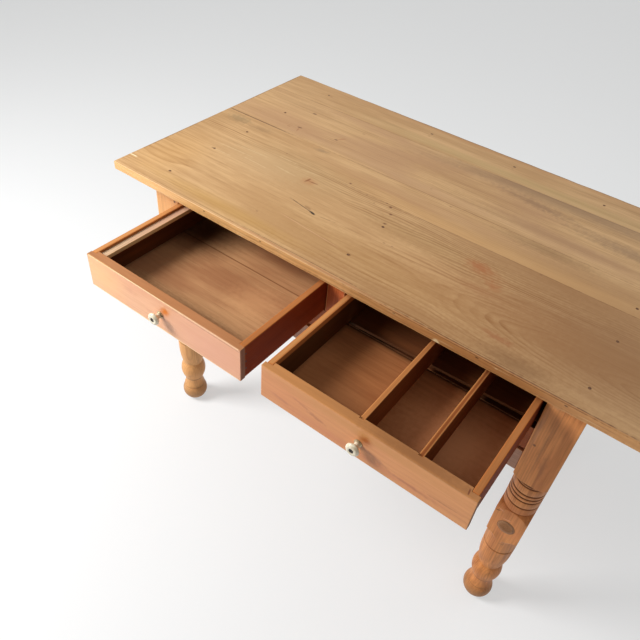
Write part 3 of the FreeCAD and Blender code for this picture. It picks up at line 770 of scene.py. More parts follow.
def lathe(profile: Sequence[tuple[float, float]], centre: Place, axis: Place,
          steps: int) -> bmesh.types.BMesh:
    """Spin a profile of radius and height round an axis through a point.

    Args:
        profile: Radius and height from one pole to the other, in metres.
        centre: The foot of the axis.
        axis: The axis, one of the three main ones.
        steps: How many faces go round.

    Returns:
        The closed mesh.
    """
    up = Vector(axis)
    out = Vector((1.0, 0.0, 0.0)) if abs(up.x) < 0.5 else Vector((0.0, 0.0, 1.0))
    mesh = bmesh.new()
    points = [mesh.verts.new(Vector(centre) + out * radius + up * height) for radius, height in profile]
    edges = [mesh.edges.new(pair) for pair in zip(points, points[1:])]
    bmesh.ops.spin(mesh, geom=points + edges, cent=centre, axis=axis, angle=math.tau, steps=steps,
                   use_merge=True)
    bmesh.ops.remove_doubles(mesh, verts=mesh.verts, dist=0.02 * MM)
    bmesh.ops.recalc_face_normals(mesh, faces=mesh.faces)
    return mesh


def bent(shares: Sequence[tuple[float, ...]], radius: float, height: float,
         steps: int) -> list[tuple[float, float]]:
    """Work out a turned profile from its corners and arcs.

    Args:
        shares: Points as shares of the radius and the height. A row of four is the end of an arc and a
            point that the arc passes.
        radius: The full radius in metres.
        height: The full height in metres.
        steps: How many straight steps stand for an arc.

    Returns:
        The profile's points in metres.
    """
    points: list[tuple[float, float]] = []
    for share in shares:
        end = Vector((share[0] * radius, share[1] * height))
        if len(share) == 2:
            points.append(tuple(end))
            continue
        begin, passed = Vector(points[-1]), Vector((share[2] * radius, share[3] * height))
        first, second = passed - begin, end - begin
        turn = 2 * (first.x * second.y - first.y * second.x)
        if abs(turn) < 1e-12:
            points.append(tuple(end))
            continue
        squares = first.length_squared, second.length_squared
        middle = begin + Vector((second.y * squares[0] - first.y * squares[1],
                                 first.x * squares[1] - second.x * squares[0])) / turn
        start = math.atan2(begin.y - middle.y, begin.x - middle.x)
        sweep = math.atan2(end.y - middle.y, end.x - middle.x) - start
        way = math.atan2(passed.y - middle.y, passed.x - middle.x) - start
        sweep, way = sweep % math.tau, way % math.tau
        if way > sweep:
            sweep -= math.tau
        reach = (begin - middle).length
        points += [(middle.x + reach * math.cos(start + sweep * i / steps),
                    middle.y + reach * math.sin(start + sweep * i / steps)) for i in range(1, steps + 1)]
    return points


# Boards


@dataclass
class Board:
    """A board of the table with worn arrises.

    Attributes:
        node: The node that it stands for.
        finish: Its finish.
        arris: How wide the wear on its arrises is, in metres.
        segments: How many strips the wear is made of.
        dents: How deep the arrises are knocked in here and there, in metres.
        pitch: The distance between the places where they can be knocked in.
    """

    node: str
    finish: WoodFinish
    arris: float = 1.0 * MM
    segments: int = 2
    dents: float = 0.0
    pitch: float = 30 * MM

    def build(self) -> bpy.types.Object:
        """Build and dress the board.

        Returns:
            The piece.
        """
        mesh = bmesh.new()
        mesh.from_mesh(frame["nodes"][self.node].data)
        bmesh.ops.remove_doubles(mesh, verts=mesh.verts, dist=0.01 * MM)
        bmesh.ops.dissolve_limit(mesh, angle_limit=math.radians(0.5), verts=mesh.verts, edges=mesh.edges,
                                 use_dissolve_boundaries=False, delimit={"NORMAL"})
        shortest, least = 5 * MM, math.radians(30)
        arrises = [e for e in mesh.edges if e.is_manifold and e.is_convex and e.calc_length() > shortest
                   and e.calc_face_angle(0.0) > least and not self.jointed(e)]
        round_over(mesh, arrises, self.arris, self.segments)
        if self.dents:
            self.knock(mesh)
        piece = show(self.node + "_board", mesh)
        flat = piece.modifiers.new("flat_faces", "WEIGHTED_NORMAL")
        flat.weight = 100
        flat.keep_sharp = True
        return settle(piece, self.finish.build(), self.node)

    def jointed(self, edge: bmesh.types.BMEdge) -> bool:
        """Whether an edge lies on a side that another board is jointed to."""
        box = self.finish.box
        return any(all(abs(v.co[axis] - box[side > 0][axis]) < 0.1 * MM for v in edge.verts)
                   for axis, side in self.finish.tight)

    def knock(self, mesh: bmesh.types.BMesh) -> None:
        """Knock the arrises in here and there, along the grain."""
        axis = self.finish.grain.value[0]
        low, high = self.finish.box[0][axis], self.finish.box[1][axis]
        normal = Vector([float(i == axis) for i in range(3)])
        for i in range(1, int((high - low) / self.pitch)):
            cut = normal * (low + i * self.pitch)
            bmesh.ops.bisect_plane(mesh, geom=mesh.verts[:] + mesh.edges[:] + mesh.faces[:], dist=0.01 * MM,
                                   plane_co=cut, plane_no=normal)
        mesh.normal_update()
        box, tight = self.finish.box, self.finish.tight
        for vertex in mesh.verts:
            gaps = sorted(abs(vertex.co[i] - box[side > 0][i]) if (i, side) not in tight else 1.0
                          for i in range(3) for side in (-1, 1))
            if gaps[1] < self.arris * 1.05:
                knock = noise.noise(vertex.co * 38.0 + Vector((self.finish.seed, 0.0, 0.0)))
                vertex.co -= vertex.normal * (self.dents * max(knock + 0.15, 0.0))


@dataclass
class Top:
    """The top: boards side by side, nailed down.

    Attributes:
        finish: The boards' finish.
        arris: The wear along the arrises.
        segments: How many strips the wear is made of.
        dents: How deep they are knocked in.
    """

    finish: WoodFinish = TOP
    arris: float = 1.6 * MM
    segments: int = 3
    dents: float = 0.9 * MM

    def front(self) -> WoodFinish:
        """The front board's finish, with its crack, knots, stains and nail marks."""
        brown, faint = srgb(112, 66, 40), srgb(148, 104, 68)
        pale, red = srgb(226, 194, 146), srgb(178, 106, 60)
        nails = tuple(Mark(at, (0.0042, 0.0036), brown, 0.6, soft=0.8) for at in (
            (-0.4847, -0.1616), (-0.4924, -0.0198), (-0.4857, 0.0951)))
        dots = tuple(Mark(at, reach, brown, 0.8, soft=0.8) for at, reach in (
            ((-0.0413, 0.0598), (0.0058, 0.0048)), ((-0.0264, 0.0364), (0.0056, 0.0046)),
            ((-0.017, -0.0011), (0.0062, 0.0042)), ((-0.0134, -0.0135), (0.0042, 0.0034)),
            ((-0.0118, -0.1398), (0.0056, 0.0050)), ((-0.1611, 0.0789), (0.0040, 0.0034)),
            ((-0.056, 0.068), (0.0040, 0.0020))))
        dots += tuple(Mark(at, (0.0045, 0.0028), faint, 0.6, soft=0.9) for at in (
            (-0.107, 0.065), (-0.077, 0.049), (-0.3484, 0.0816), (-0.2417, -0.1484), (0.3018, -0.1897),
            (0.306, 0.0651), (0.0551, 0.1549), (0.0186, -0.0591), (0.0371, -0.0579)))
        crack = (line((-0.1845, -0.068), (0.0445, 0.0015), srgb(86, 60, 40), 0.8, turn=-11),
                 Mark((-0.152, -0.0745), (0.013, 0.0040), SOOT, 0.9, -14, 0.4),
                 Mark((-0.170, -0.066), (0.014, 0.0050), srgb(140, 100, 64), 0.5, -16),
                 line((-0.115, -0.072), (0.024, 0.0013), srgb(134, 94, 60), 0.55, turn=7))
        knots = (tone((-0.234, 0.020), (0.026, 0.022), srgb(190, 124, 78), 0.45, 0.5, 0.9, 20),
                 Mark((-0.2395, 0.0208), (0.0130, 0.0042), srgb(138, 84, 44), 0.75, 80, 0.5),
                 Mark((-0.2235, 0.0215), (0.0150, 0.0028), srgb(138, 84, 44), 0.7, 7, 0.5),
                 tone((0.215, -0.004), (0.070, 0.034), srgb(178, 116, 70), 0.45, 0.5, turn=-14),
                 tone((0.203, 0.005), (0.040, 0.021), red, 0.6, 0.5, turn=-12),
                 tone((0.250, -0.032), (0.026, 0.018), red, 0.45, 0.5, turn=-30),
                 tone((0.3187, -0.1555), (0.045, 0.012), srgb(164, 94, 54), 0.45, 0.6, 0.9, -4),
                 tone((0.235, -0.060), (0.060, 0.020), srgb(170, 112, 70), 0.3, 0.5))
        shades = (tone((0.50, -0.06), (0.44, 0.26), srgb(150, 104, 60), 0.8, 0.12),
                  tone((0.02, -0.13), (0.42, 0.08), srgb(172, 126, 72), 0.45, 0.2),
                  tone((-0.55, -0.10), (0.12, 0.16), srgb(216, 168, 108), 0.5, 0.2),
                  tone((-0.30, 0.04), (0.24, 0.10), srgb(190, 156, 110), 0.45),
                  tone((-0.30, -0.185), (0.32, 0.032), srgb(196, 150, 78), 0.5, 0.15),
                  tone((0.04, 0.125), (0.50, 0.035), srgb(208, 164, 120), 0.4, 0.2, 0.9),
                  tone((0.10, 0.0), (0.26, 0.05), srgb(172, 134, 86), 0.4, 0.4),
                  tone((-0.36, 0.0), (0.20, 0.10), srgb(226, 190, 144), 0.3),
                  tone((0.18, -0.20), (0.44, 0.045), srgb(150, 100, 52), 0.45, 0.2),
                  tone((0.30, 0.06), (0.26, 0.09), srgb(160, 112, 66), 0.3, 0.2),
                  tone((-0.60, 0.10), (0.10, 0.26), srgb(184, 142, 94), 0.4, 0.2),
                  line((-0.6050, -0.03), (0.0030, 0.20), srgb(132, 96, 64), 0.6, 0.6, 0.9),
                  tone((0.28, 0.150), (0.16, 0.030), srgb(134, 98, 60), 0.45),
                  tone((0.37, -0.195), (0.10, 0.035), srgb(132, 92, 54), 0.5),
                  tone((0.22, -0.08), (0.42, 0.14), srgb(164, 98, 46), 0.2, 0.2))
        seams = (replace(line((0.22, 0.0685), (0.47, 0.05), srgb(218, 170, 114), 0.6, 0.1, 0.85), half=1),
                 replace(line((0.27, 0.0685), (0.44, 0.06), srgb(162, 116, 72), 0.45, 0.1, 0.95), half=-1),
                 line((0.22, 0.0682), (0.46, 0.0013), srgb(128, 84, 48), 0.5, 0.6),
                 line((-0.52, 0.1625), (0.15, 0.0016), srgb(112, 76, 48), 0.75, 0.3),
                 line((0.10, 0.1625), (0.48, 0.0012), srgb(140, 98, 62), 0.4, 0.7))
        patches = (tone((-0.545, 0.134), (0.050, 0.026), srgb(140, 116, 80), 0.55, 0.5),
                  tone((-0.470, 0.130), (0.050, 0.018), srgb(160, 128, 90), 0.4, 0.5, turn=10),
                  tone((-0.2953, 0.1516), (0.030, 0.010), GREY, 0.4, 0.5, 0.9, 10),
                  tone((-0.07, 0.11), (0.20, 0.010), srgb(180, 130, 92), 0.3, 0.4, 0.9))
        waves = tuple(Mark(at, reach, pale, 0.5, turn, 0.6, 0.8) for at, reach, turn in (
            ((-0.45, 0.010), (0.080, 0.0030), 2), ((-0.37, -0.002), (0.070, 0.0026), -3),
            ((-0.41, 0.034), (0.060, 0.0028), 3), ((-0.30, 0.018), (0.050, 0.0030), -4),
            ((-0.47, -0.020), (0.055, 0.0024), 2), ((-0.26, 0.052), (0.050, 0.0026), 4),
            ((-0.33, 0.060), (0.045, 0.0024), 0)))
        lines = (line((-0.1235, -0.127), (0.098, 0.0013), srgb(226, 178, 138), 0.6, 0.4, turn=-5.3),
                 line((-0.08, -0.2085), (0.20, 0.0013), srgb(118, 70, 42), 0.7),
                 line((-0.08, -0.2140), (0.20, 0.0030), srgb(206, 146, 104), 0.5, 0.4, 0.4),
                 line((0.36, -0.2150), (0.27, 0.0013), srgb(100, 58, 32), 0.85),
                 line((0.30, -0.2105), (0.20, 0.0008), srgb(128, 82, 50), 0.6, 0.6, turn=0.3),
                 line((-0.38, -0.2110), (0.22, 0.0012), srgb(150, 104, 62), 0.5),
                 line((-0.595, -0.1705), (0.0145, 0.0022), srgb(252, 230, 186), 1.0, 0.2))
        edge = tuple(Mark((x, z), (0.0045, 0.0020), UMBER, 0.8) for x, z in (
            (-0.3264, 0.7565), (-0.1726, 0.7565), (0.144, 0.7565), (0.3107, 0.757), (0.47, 0.756)))
        chips = (line((0.32, 0.7602), (0.32, 0.0012), srgb(112, 66, 36), 0.6, 0.6),
                 line((0.10, 0.7460), (0.50, 0.0016), srgb(130, 80, 44), 0.45, 0.8))
        for i in range(19):
            place = 0.061 * i - 0.56 + 0.017 * (i % 3), 0.748 + 0.0026 * (i * 5 % 4)
            chips += (Mark(place, (0.024, 0.0011), (brown, STRAW)[i % 2], 0.35, 1.5 - i % 4, 0.5),)
        chips += (Mark((-0.2261, 0.7425), (0.008, 0.003), STRAW, 0.9),
                  Mark((0.2335, 0.7430), (0.0095, 0.0075), srgb(226, 198, 152), 1.0, soft=0.5),
                  Mark((0.3472, 0.7555), (0.004, 0.0016), STRAW, 0.7))
        # The front edge darkens towards the right end.
        darker_right_end = tone((0.32, 0.752), (0.60, 0.03), srgb(162, 102, 54), 0.8, 0.1)
        return self.finish.fitted(
            "top_front_board", 3.1,
            Face(2, 1, marks=shades + waves + patches + knots + seams + crack + lines + dots + nails),
            Face(1, -1, srgb(226, 174, 110), 0.85, 0.0010, marks=(darker_right_end,) + edge + chips),
            Face(0, -1, srgb(206, 150, 98), 0.5, 0.0010))

    def middle(self) -> WoodFinish:
        """The middle board's finish, grey along its back seam."""
        brown, ash = srgb(110, 68, 42), srgb(130, 98, 74)
        marks = (replace(line((0.24, 0.3535), (0.46, 0.055), srgb(146, 114, 84), 0.62, 0.15, 0.9), half=-1),
                 tone((0.20, 0.300), (0.14, 0.020), ash, 0.5, 0.5, turn=-5),
                 tone((0.44, 0.262), (0.22, 0.030), ash, 0.5, 0.4, turn=-3),
                 tone((0.05, 0.270), (0.32, 0.07), srgb(176, 130, 88), 0.3),
                 tone((-0.46, 0.31), (0.15, 0.035), srgb(184, 142, 98), 0.4),
                 line((-0.6050, 0.26), (0.0030, 0.12), srgb(132, 96, 64), 0.7, 0.6, 0.9),
                 tone((-0.05, 0.185), (0.55, 0.022), srgb(206, 164, 122), 0.45, 0.2, 0.9),
                 tone((0.26, 0.205), (0.34, 0.025), srgb(168, 128, 90), 0.4, soft=0.9),
                 tone((-0.47, 0.25), (0.12, 0.07), srgb(206, 162, 116), 0.4),
                 Mark((-0.4271, 0.2942), (0.0085, 0.0036), brown, 0.85, 6),
                 Mark((-0.4867, 0.2427), (0.0046, 0.0038), brown, 0.6, soft=0.8),
                 Mark((-0.4087, 0.2066), (0.0085, 0.0036), brown, 0.75, 10),
                 Mark((-0.4055, 0.1945), (0.0110, 0.0026), srgb(170, 112, 72), 0.6, -75),
                 Mark((-0.4330, 0.1933), (0.0070, 0.0030), srgb(170, 118, 78), 0.5),
                 Mark((-0.3049, 0.2203), (0.0065, 0.0036), brown, 0.7),
                 Mark((-0.2955, 0.2330), (0.0150, 0.0026), srgb(176, 106, 66), 0.6, 53),
                 Mark((-0.2720, 0.2958), (0.0060, 0.0030), srgb(166, 116, 76), 0.5),
                 line((-0.52, 0.1645), (0.15, 0.0016), srgb(112, 76, 48), 0.75, 0.3),
                 line((0.10, 0.1645), (0.48, 0.0010), srgb(140, 98, 62), 0.4, 0.7),
                 line((-0.30, 0.3535), (0.34, 0.0012), srgb(150, 116, 78), 0.5),
                 line((0.30, 0.3535), (0.34, 0.0015), srgb(112, 90, 66), 0.6, 0.4))
        return self.finish.fitted("top_middle_board", 7.7, Face(2, 1, marks=marks),
                                  Face(0, -1, srgb(206, 150, 98), 0.5, 0.0010))

    def back(self) -> WoodFinish:
        """The back board's finish, olive along its seam and orange along its back edge."""
        marks = (line((0.1, 0.376), (0.55, 0.024), srgb(202, 170, 116), 0.55, 0.15, 0.8),
                 line((0.0, 0.455), (0.62, 0.016), srgb(196, 140, 90), 0.4, 0.2, 0.9),
                 line((0.0, 0.4590), (0.61, 0.0036), srgb(138, 104, 76), 0.65, soft=0.9),
                 line((-0.6050, 0.41), (0.0030, 0.06), srgb(132, 100, 72), 0.7, 0.6, 0.9),
                 Mark((-0.4684, 0.4119), (0.0044, 0.0036), UMBER, 0.85),
                 Mark((-0.458, 0.410), (0.0080, 0.0020), srgb(170, 118, 78), 0.5),
                 Mark((-0.1458, 0.4229), (0.0048, 0.0034), UMBER, 0.85),
                 Mark((0.0870, 0.4214), (0.0048, 0.0034), UMBER, 0.85))
        return self.finish.fitted("top_back_board", 12.9, Face(2, 1, marks=marks))

    def build(self) -> None:
        """Build the three boards."""
        fronted = replace(self.front(), heart=(-0.0925, -0.062), slope=-0.155, arch=0.19, wander=0.016,
                          ring=0.0062, curl=0.011, ring_strength=0.75, ring_uneven=0.9, arris_strength=0.35,
                          tight=((1, 1),))
        middled = replace(self.middle(), heart=(-0.35, -0.05), ring_strength=0.28, fleck_strength=0.26,
                          fibre_strength=0.44, tint=srgb(194, 150, 110), tight=((1, 1), (1, -1)))
        backed = replace(self.back(), heart=(0.3, -0.06), wander=0.02, ring_strength=0.28,
                         fleck_strength=0.26, fibre_strength=0.44, tight=((1, -1),))
        nodes = "top_front_board", "top_middle_board", "top_back_board"
        for node, finish in zip(nodes, (fronted, middled, backed)):
            Board(node, finish, self.arris, self.segments, self.dents).build()


# Turned work


@dataclass
class Leg:
    """A leg turned from square stock, with a square post and a square block.

    Attributes:
        node: The leg's node.
        seed: Moves its grain.
        half: Half the side of the stock, in metres.
        turned: How high the turned work reaches.
        height: The leg's full height.
        arris: The radius of the worn arrises.
        steps: How many faces go round.
        grooves: The heights of the cut grooves, as shares of the turned height.
        post_groove: The height of the thin groove under the post, as such a share.
        waists: The heights of the waists between the bulbs, as such shares.
        plug: The height and the radius of the rung's end.
        plug_side: The side that it shows on, -1 for the front and 1 for the back.
        ring: The width of the dark joint round it.
        wood: Its finish.
        marks: What lies on its front face.
    """

    node: str
    seed: float
    half: float = 35 * MM
    turned: float = 515 * MM
    height: float = 742 * MM
    arris: float = 2.2 * MM
    steps: int = 144
    grooves: tuple[float, ...] = (0.812, 0.854, 0.876, 0.898, 0.944)
    post_groove: float = 0.9562
    waists: tuple[float, ...] = (0.105, 0.168, 0.463, 0.769)
    plug: tuple[float, float] = (338 * MM, 18.5 * MM)
    plug_side: int = -1
    ring: float = 1.4 * MM
    wood: WoodFinish = LEG
    marks: tuple[Mark, ...] = ()

    def profile(self) -> list[tuple[float, float]]:
        """The leg's outline from the foot to the top."""
        # Shares of half the stock's side: past its corners, at a groove's lip and at its bottom
        corner, lip, cut = 1.43, 0.994, 0.945
        shares: list[tuple[float, ...]] = [
            (0.0, 0.0), (0.36, 0.0), (0.42, 0.0012), (0.831, 0.097, 0.986, 0.061), (0.78, 0.103),
            (0.829, 0.109), (0.7, 0.161, 0.725, 0.135), (0.743, 0.175), (0.757, 0.291, 0.971, 0.233),
            (0.986, 0.417, 0.923, 0.35), (1.0, 0.458), (0.937, 0.463), (1.0, 0.468), (1.0, 0.544),
            (corner, 0.586, 1.143, 0.569)]
        shares += [(corner, 0.586 + 0.14 * i / 8) for i in range(1, 9)]
        shares += [(0.93, 0.767, 1.14, 0.756), (1.0, 0.771)]
        for groove in self.grooves:
            shares += [(1.0, groove - 0.0055), (lip, groove - 0.0042), (cut, groove - 0.0006),
                       (cut, groove + 0.0006), (lip, groove + 0.0042), (1.0, groove + 0.0055)]
        groove = self.post_groove
        shares += [(lip, groove - 0.0034), (cut, groove - 0.0004), (cut, groove + 0.0004),
                   (corner, 0.998, 1.24, 0.9665)]
        top = self.height / self.turned
        shares += [(corner, 0.998 + (top - 0.998) * i / 10) for i in range(1, 10)]
        shares += [(corner, top - 0.002), (1.40, top), (0.0, top)]
        return bent(shares, self.half, self.turned, 16)

    def limit(self, x: float, y: float) -> float:
        """How far the stock reaches in a direction.

        Args:
            x: The direction's first part.
            y: Its second part.

        Returns:
            The distance from the middle to the stock's surface.
        """
        length = math.hypot(x, y)
        long, short = sorted((abs(x) / length, abs(y) / length), reverse=True)
        inner = self.half - self.arris
        if self.half / long * short <= inner:
            return self.half / long
        lean = inner * (long + short)
        return lean + math.sqrt(max(lean * lean - 2 * inner * inner + self.arris * self.arris, 0.0))

    def finish(self) -> WoodFinish:
        """The leg's finish, with its grooves and waists darkened by dirt and painted shade, and its foot
        painted darker towards the floor as shade.
        """
        low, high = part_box(self.node)
        x = (low.x + high.x) / 2
        # Dark lines in the grooves and waists are dirt and painted shade in the recesses.
        around = tuple(line((x, share * self.turned), (0.2, 0.0030), srgb(104, 54, 28), 0.85, 0.2)
                       for share in self.grooves + (self.post_groove,))
        around += tuple(line((x, share * self.turned), (0.2, 0.0028), srgb(110, 62, 32), 0.55, 0.3, 0.7)
                        for share in self.waists)
        # The foot's two dark bands, towards the floor, are painted shade.
        around += (line((x, 0.016), (0.2, 0.060), srgb(154, 114, 76), 0.7, 0.3, 0.9),
                   line((x, 0.335), (0.2, 0.05), srgb(236, 152, 94), 0.35, 0.3, 0.95),
                   line((x, 0.004), (0.2, 0.010), srgb(104, 76, 50), 0.6, 0.3, 0.9),
                   line((x, 0.40), (0.2, 0.03), srgb(196, 108, 56), 0.35, 0.3, 0.9))
        height, radius = self.plug
        outer = radius + self.ring
        joint = Mark((x, height), (outer, outer), srgb(84, 46, 26), 0.9, ragged=0.02, soft=0.08,
                     hollow=radius / outer * 0.98)
        return self.wood.fitted(self.node, self.seed, Face(1, 0, marks=around),
                                Face(1, self.plug_side, marks=self.marks + (joint,)))

    def build(self) -> None:
        """Turn the leg and dress it."""
        low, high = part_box(self.node)
        centre = Vector(((low.x + high.x) / 2, (low.y + high.y) / 2, 0.0))
        mesh = lathe(self.profile(), tuple(centre), (0.0, 0.0, 1.0), self.steps)
        for vertex in mesh.verts:
            flat = vertex.co - centre
            radius = math.hypot(flat.x, flat.y)
            if radius > self.half * 0.99:
                scale = min(radius, self.limit(flat.x, flat.y)) / radius
                vertex.co.x, vertex.co.y = centre.x + flat.x * scale, centre.y + flat.y * scale
        piece = show(self.node + "_turned", mesh, angle=32.0)
        self.crease(piece.data, centre)
        settle(piece, self.finish().build(), self.node)

    def crease(self, data: bpy.types.Mesh, centre: Vector) -> None:
        """Keep the line sharp where the turned work runs out into the stock's flat faces.

        Args:
            data: The leg's mesh.
            centre: The foot of the leg's axis.
        """
        flat = []
        for vertex in data.vertices:
            x, y = vertex.co.x - centre.x, vertex.co.y - centre.y
            radius = math.hypot(x, y)
            flat.append(radius > self.half * 0.99 and radius > self.limit(x, y) - 0.01 * MM)
        sides: dict[int, set[bool]] = {}
        for face in data.polygons:
            whole = all(flat[i] for i in face.vertices)
            for loop in face.loop_indices:
                sides.setdefault(data.loops[loop].edge_index, set()).add(whole)
        for index, kinds in sides.items():
            if len(kinds) > 1:
                data.edges[index].use_edge_sharp = True


@dataclass
class Rung:
    """A round stretcher between a front and a back leg.

    Attributes:
        node: The stretcher's node.
        seed: Moves its grain.
        radius: Its radius between the legs, in metres.
        tenon: The radius of its tenons.
        block: How thick the leg's block is.
        proud: How far a tenon stands out of the leg.
        steps: How many faces go round.
    """

    node: str
    seed: float
    radius: float = 22 * MM
    tenon: float = 18.5 * MM
    block: float = 70 * MM
    proud: float = 1.5 * MM
    steps: int = 64

    def build(self) -> None:
        """Turn the rung and dress it."""
        low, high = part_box(self.node)
        length = high.y - low.y
        inner = self.block + self.proud
        dome = [(self.tenon * math.sin(a), self.proud * (1 - math.cos(a)) * 0.9)
                for a in (math.radians(10 * i) for i in range(9))]
        dome[-1] = (self.tenon - 0.4 * MM, dome[-1][1])
        shoulder = [(self.tenon, self.proud), (self.tenon, inner), (self.radius - 1.5 * MM, inner + 0.2 * MM),
                    (self.radius, inner + 2.5 * MM)]
        half = dome + shoulder
        profile = half + [(r, length - h) for r, h in reversed(half)]
        centre = ((low.x + high.x) / 2, low.y, (low.z + high.z) / 2)
        mesh = lathe(profile, centre, (0.0, 1.0, 0.0), self.steps)
        grained = replace(LEG, grain=Grain.ALONG_Y, heart=(0.03, -0.02), arris_strength=0.0)
        x, _, z = centre
        shade = Mark((x - 3.5 * MM, z - 3.0 * MM), (26 * MM, 26 * MM), srgb(92, 60, 38), 0.7, ragged=0.1,
                     soft=0.3, hollow=0.76)
        sawn = srgb(160, 120, 84)
        ends = Face(1, -1, sawn, 0.85, 2.2 * MM, (shade,)), Face(1, 1, sawn, 0.85, 2.2 * MM)
        material = grained.fitted(self.node, self.seed, *ends).build()
        settle(show(self.node + "_turned", mesh), material, self.node)


@dataclass
class Knob:
    """A small round porcelain knob with a metal collar and a screw.

    Attributes:
        prefix: The drawer's prefix.
        radius: Its radius in metres.
        reach: How far it stands off the drawer.
        collar: The collar's radius at the drawer and at the knob.
        steps: How many faces go round.
    """

    prefix: str
    radius: float = 13 * MM
    reach: float = 21 * MM
    collar: tuple[float, float] = (8 * MM, 6 * MM)
    steps: int = 72

    def place(self, part: str) -> tuple[Place, float]:
        """Where a part's axis meets its front, and how deep it is.

        Args:
            part: The part's name after the drawer's prefix.

        Returns:
            The point on the axis, and the depth.
        """
        low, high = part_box(self.prefix + part)
        return ((low.x + high.x) / 2, low.y, (low.z + high.z) / 2), high.y - low.y

    def build(self, finishes: dict[str, bpy.types.Material]) -> None:
        """Turn the knob and its collar and dress them.

        Args:
            finishes: Materials by slot.
        """
        centre, depth = self.place("knob")
        front = [(0.0, 1.6 * MM), (3.6 * MM, 1.6 * MM), (4.1 * MM, 1.0 * MM), (4.8 * MM, 0.35 * MM),
                 (6.0 * MM, 0.05 * MM), (7.6 * MM, 0.0)]
        rounded = [(7.6 * MM + 5.4 * MM * math.sin(a), 5.3 * MM * (1 - math.cos(a)))
                   for a in (math.radians(9 * i) for i in range(1, 11))]
        waist = bent([(1.0, 0.26), (0.423, 0.58, 0.72, 0.46), (0.40, 0.72), (0.43, 0.84)], self.radius,
                     self.reach, 12)
        shank = [(r, h) for r, h in waist if h < depth] + [(self.radius * 0.42, depth), (0.0, depth)]
        mesh = lathe(front + rounded + shank, centre, (0.0, 1.0, 0.0), self.steps)
        settle(show(self.prefix + "knob_turned", mesh), finishes["porcelain"], self.prefix + "knob")
        centre, depth = self.place("knob_collar")
        wide, narrow = self.collar
        ring = [(0.0, 0.0), (narrow - 0.8 * MM, 0.0), (narrow, 0.5 * MM), (narrow + 0.3 * MM, 1.3 * MM),
                (wide - 1.0 * MM, 1.8 * MM), (wide, 2.5 * MM), (wide, depth), (0.0, depth)]
        mesh = lathe(ring, centre, (0.0, 1.0, 0.0), self.steps)
        settle(show(self.prefix + "knob_collar_turned", mesh), finishes["collar_metal"],
               self.prefix + "knob_collar")


# Frame and drawers


@dataclass
class Frame:
    """The table's frame: aprons, rails, runners, legs and rungs.

    Attributes:
        arris: The wear on the boards' arrises.
    """

    arris: float = 1.2 * MM

    def build(self) -> None:
        """Build every piece of the frame."""
        dark = srgb(96, 52, 30)
        spots = (tone((0.476, 0.335), (0.045, 0.040), srgb(206, 126, 68), 0.5, soft=0.9),
                 Mark((0.4526, 0.6030), (0.0042, 0.0036), dark, 0.8),
                 tone((0.456, 0.716), (0.016, 0.012), srgb(206, 156, 108), 0.5, 0.5, 0.8, -30),
                 Mark((0.446, 0.376), (0.007, 0.0022), dark, 0.7, 20),
                 Mark((0.452, 0.383), (0.009, 0.0020), srgb(222, 160, 128), 0.6, -10),
                 Mark((0.470, 0.362), (0.012, 0.0020), srgb(232, 170, 130), 0.6, 15),
                 Mark((0.488, 0.282), (0.010, 0.0016), srgb(150, 96, 66), 0.6, 0),
                 Mark((0.485, 0.275), (0.011, 0.0016), srgb(150, 96, 66), 0.6, 8),
                 tone((0.482, 0.560), (0.010, 0.050), srgb(136, 88, 58), 0.4, 0.4, 0.9, 3),
                 tone((0.448, 0.640), (0.006, 0.080), srgb(190, 136, 96), 0.4, 0.4, 0.9),
                 tone((0.468, 0.600), (0.005, 0.090), srgb(128, 84, 56), 0.35, 0.4, 0.9))
        hole = Mark((-0.4502, 0.7095), (0.0046, 0.0042), srgb(60, 30, 18), 0.9)
        marks = {"front_left": (hole,), "front_right": spots}
        for i, name in enumerate(("front_left", "front_right", "back_left", "back_right")):
            Leg("leg_" + name, 2.3 + 3.7 * i, plug_side=-1 if "front" in name else 1,
                wood=PALE_LEG if "left" in name else LEG, marks=marks.get(name, ())).build()
        for i, name in enumerate(("left", "right")):
            Rung("stretcher_" + name, 4.9 + 2.1 * i).build()
        boards = (("apron_left", SIDE_APRON), ("apron_right", SIDE_APRON), ("apron_back", APRON),
                  ("front_top_rail", APRON), ("front_drawer_rail", DRAWER_RAIL),
                  ("front_apron_board", DIM_APRON), ("centre_stile", STILE))
        for i, (node, finish) in enumerate(boards):
            Board(node, finish.fitted(node, 5.3 + 2.9 * i), self.arris).build()
        inner = product(("runner", "guide", "kicker"), ("left", "centre", "right"))
        for i, names in enumerate(inner, 1):
            node = "_".join(names)
            Board(node, INNER.fitted(node, 1.7 * i), self.arris).build()


